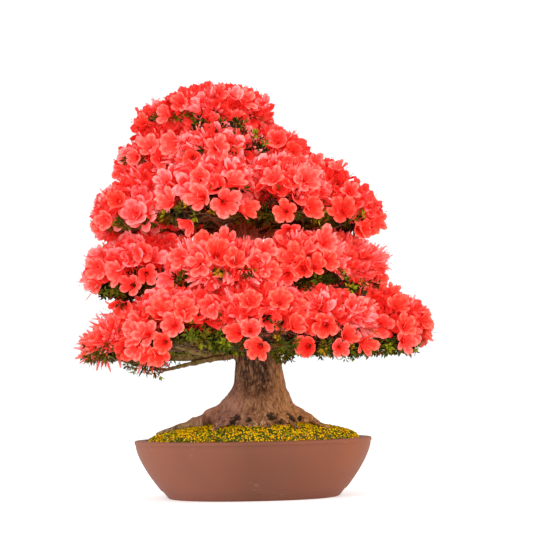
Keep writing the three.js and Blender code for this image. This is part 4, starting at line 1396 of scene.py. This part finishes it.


# %% [markdown]
# A petal is thin and lets some light through, which is why a mass of them glows and never goes black
# between the flowers. Real petals have a faint velvet and no gloss. Each tint of flower has its own four
# plain reds, from throat to edge. The first three tints run from pale to deep red as painted light and
# shade, and the fourth tint is the deep red of painted shade, for flowers in the shade of others. A little
# subsurface scattering and a faint red glow stand for the light that comes through from behind, which an
# open sheet of faces can't pass on by itself.

# %% Petal materials and models
PARTS = ("throat", "inner", "outer", "edge", "filament", "anther")
# Tints 0 to 2 run from pale to deep as painted light and shade; tint 3 is painted shade.
PETAL_COLOURS = [  # one row for each tint
    ("e8302c", "fa6a67", "ff8e8c", "ffa19f", "d0685e", "7a3228"),
    ("e0221c", "f64a40", "ff6b60", "ff8276", "d0685e", "7a3228"),
    ("d81c14", "ee3e30", "f85a48", "fc7464", "cc5e50", "7a3228"),
    ("c8160f", "de2c24", "e83c34", "f04a42", "a84438", "5a2018"),
]
LIGHT_THROUGH = {"Subsurface_Weight": 0.25, "Subsurface_Radius": (1.0, 0.3, 0.25),
                 "Subsurface_Scale": 4 * MM, "Emission_Color": linear("ff2c22"), "Emission_Strength": 0.13}
petal_materials = [plain(f"petal_{part}_{tint}", colour, 0.6, Specular_IOR_Level=0.1,
                         **(LIGHT_THROUGH if part != "anther" else {}))
                   for tint, colours in enumerate(PETAL_COLOURS) for part, colour in zip(PARTS, colours)]

OPEN_MODELS, STRAP_MODELS = 16, 8
LIT_BLOOMS, SHADED_BLOOMS = range(12), range(12, 16)  # the last four models have the shaded tint
STRAP_BLOOMS = range(OPEN_MODELS, OPEN_MODELS + STRAP_MODELS)
blooms = model_collection("bloom", [open_bloom(seed, seed // 4) for seed in range(OPEN_MODELS)]
                          + [strap_bloom(40 + seed) for seed in range(STRAP_MODELS)])
bloom_tree = scatter_tree("bloom_scatter", petal_materials)


# %% Flowers of one pad
SPACING = 20  # millimetres between neighbours; the flowers are wider, so they overlap
OPEN_DEPTH = (31, 43)  # how far inside the pad's outline an open flower's foot is
STRAP_DEPTH = (30, 42)
SHADED_DEPTH = (40, 46)
SHADED_SHARE = 0.45  # of the number of outer flowers
BLOOM_INSET, TRUNK_GAP = 34, 14  # flowers deeper in another pad, or nearer to the trunk, are left out
MOSTLY_STRAPS = 0.8
MOUTH = 24  # from a flower's foot to its mouth
# Strap flowers that hang under the lowest tier.
HANGING_STRAPS = [(-176, -32, 234), (-164, -34, 232), (-150, -32, 236), (-244, -36, 240)]
# Strap flowers that reach out of the outline, left and right.
OUTWARD_STRAPS = [(206, -8, 391), (209, -10, 385), (204, -14, 397), (-220, -10, 306),
                  (-233, -14, 296), (-243, -12, 284)]
# Pads whose flowers sit deeper, in millimetres: all round, and more at the outer end.
DEEPER = {"apex": (8, 10), "crown_left": (3, 1), "crown_right": (4, 4), "high_right": (5, 6),
          "high_left": (4, 2), "mid_left": (2, 2), "mid_right": (2, 3), "low_right": (1, 1),
          "low_left_tip": (4, 0)}


def lit_bloom(place, chance, deeper=0.0):
    """The number of an open flower's model, from pale to deep red. Those high up and on the left are pale."""
    # Painted light and shade: high up and on the left the tints are paler, and deeper shifts to the deep reds.
    likely = 4.6 + deeper + place.x / 60 - (place.z - 400) / 45
    darkest = min(len(LIT_BLOOMS) - 0.01, max(deeper + 6, likely + 6.5))
    return int(chance.triangular(deeper, darkest, min(darkest - 0.5, max(deeper + 0.5, likely))))


def bloom_spots(pad, chance):
    count = int(pad.area(pad.hem) / SPACING ** 2)
    deeper, at_the_end = DEEPER.get(pad.name, (0, 0))
    spots = []
    for k, rise in enumerate(pad.rises(pad.hem, count)):
        rise = max(-0.6, min(0.998, rise + chance.uniform(-0.04, 0.04)))
        longitude = k * GOLDEN_ANGLE + chance.uniform(-0.1, 0.1)
        facing = pad.facing(longitude, rise, LOWEST_LOOK)
        mouth = pad.dome(longitude, rise)
        sunk = deeper + at_the_end * max(0.0, math.cos(longitude))
        if crowded(mouth) or in_gap(mouth, 5) or in_notch(mouth):
            continue
        if chance.random() < pad.straps:
            for _ in range(2):
                beside = pad.dome(longitude + chance.uniform(-0.1, 0.1), rise)
                spots.append((beside - facing * (sunk + chance.uniform(*STRAP_DEPTH)),
                              shaken(facing, chance, 0.5), any_turn(chance), chance.uniform(0.85, 1.05),
                              chance.choice(STRAP_BLOOMS)))
        else:
            depth = sunk + mix(*OPEN_DEPTH, chance.random() ** 0.7)
            spots.append((mouth - facing * depth, shaken(facing, chance, 0.45), any_turn(chance),
                          chance.uniform(0.82, 1.04), lit_bloom(mouth, chance)))
    # Flowers in the shade further in, so that red and not sky or twigs shows between the others. Their deep red
    # tint is painted shade; behind straps, which let more light through, they take paler tints, less painted
    # shade.
    behind = LIT_BLOOMS[8:] if pad.straps >= MOSTLY_STRAPS else SHADED_BLOOMS
    for k, rise in enumerate(pad.rises(pad.hem + 0.1, int(count * SHADED_SHARE))):
        longitude = k * GOLDEN_ANGLE + 1
        facing = pad.facing(longitude, rise, LOWEST_LOOK)
        spots.append((pad.dome(longitude, rise) - facing * chance.uniform(*SHADED_DEPTH),
                      shaken(facing, chance, 0.4), any_turn(chance), 1.05, chance.choice(behind)))
    return [(place * MM, *rest) for place, *rest in spots
            if free(place, pad, BLOOM_INSET, TRUNK_GAP) and not in_gap(place + rest[0] * MOUTH, 2)
            and not in_notch(place + rest[0] * MOUTH)]


# %% Flowers placed one by one
def front_spots(tier, chance):
    """The large flowers at the front whose nearest pad belongs to a tier."""
    spots = []
    for x, y, z, size in FRONT_FLOWERS:
        mouth = Vector((x, y, z))
        if tier_at(mouth) != tier:
            continue
        nearest = min(pads, key=lambda pad: (mouth - pad.widest).length)
        away = (mouth - nearest.widest).normalized()
        facing = shaken(away * 1.2 + Vector((0, -0.8, -0.15)), chance, 0.55).normalized()
        # They hang in the shade of the hem, so they take deeper reds: painted shade.
        spots.append(((mouth - facing * MOUTH * size) * MM, facing, any_turn(chance), size,
                      lit_bloom(mouth, chance, 3.0)))
    for x, y, z in OUTWARD_STRAPS:
        foot = Vector((x, y, z))
        if tier_at(foot) == tier:
            away = Vector((x, 0, 0)).normalized() + UP * 0.3
            spots.append((foot * MM, shaken(away, chance, 0.3), any_turn(chance), 0.85,
                          chance.choice(STRAP_BLOOMS)))
    if tier == "low":
        for x, y, z in HANGING_STRAPS:
            spots.append((Vector((x, y, z)) * MM, shaken(Vector((0, -0.4, -1)), chance, 0.5), any_turn(chance),
                          0.7, chance.choice(STRAP_BLOOMS)))
    return spots


# %% Place the flowers
chance = random.Random(37)
flowers = 0
for tier in TIERS:
    spots = [spot for pad in pads if pad.tier == tier for spot in bloom_spots(pad, chance)]
    spots += front_spots(tier, chance)
    flowers += len(spots)
    blossom = new_object("blossom_" + tier, scatter("blossom_" + tier, spots, bloom_tree, blooms))
    print(blossom.name, len(spots), "flowers,", triangles(blossom.data), "triangles")
    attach(blossom, "root")
    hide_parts(*["pad_" + pad.name for pad in pads if pad.tier == tier])
print("flowers in all:", flowers)
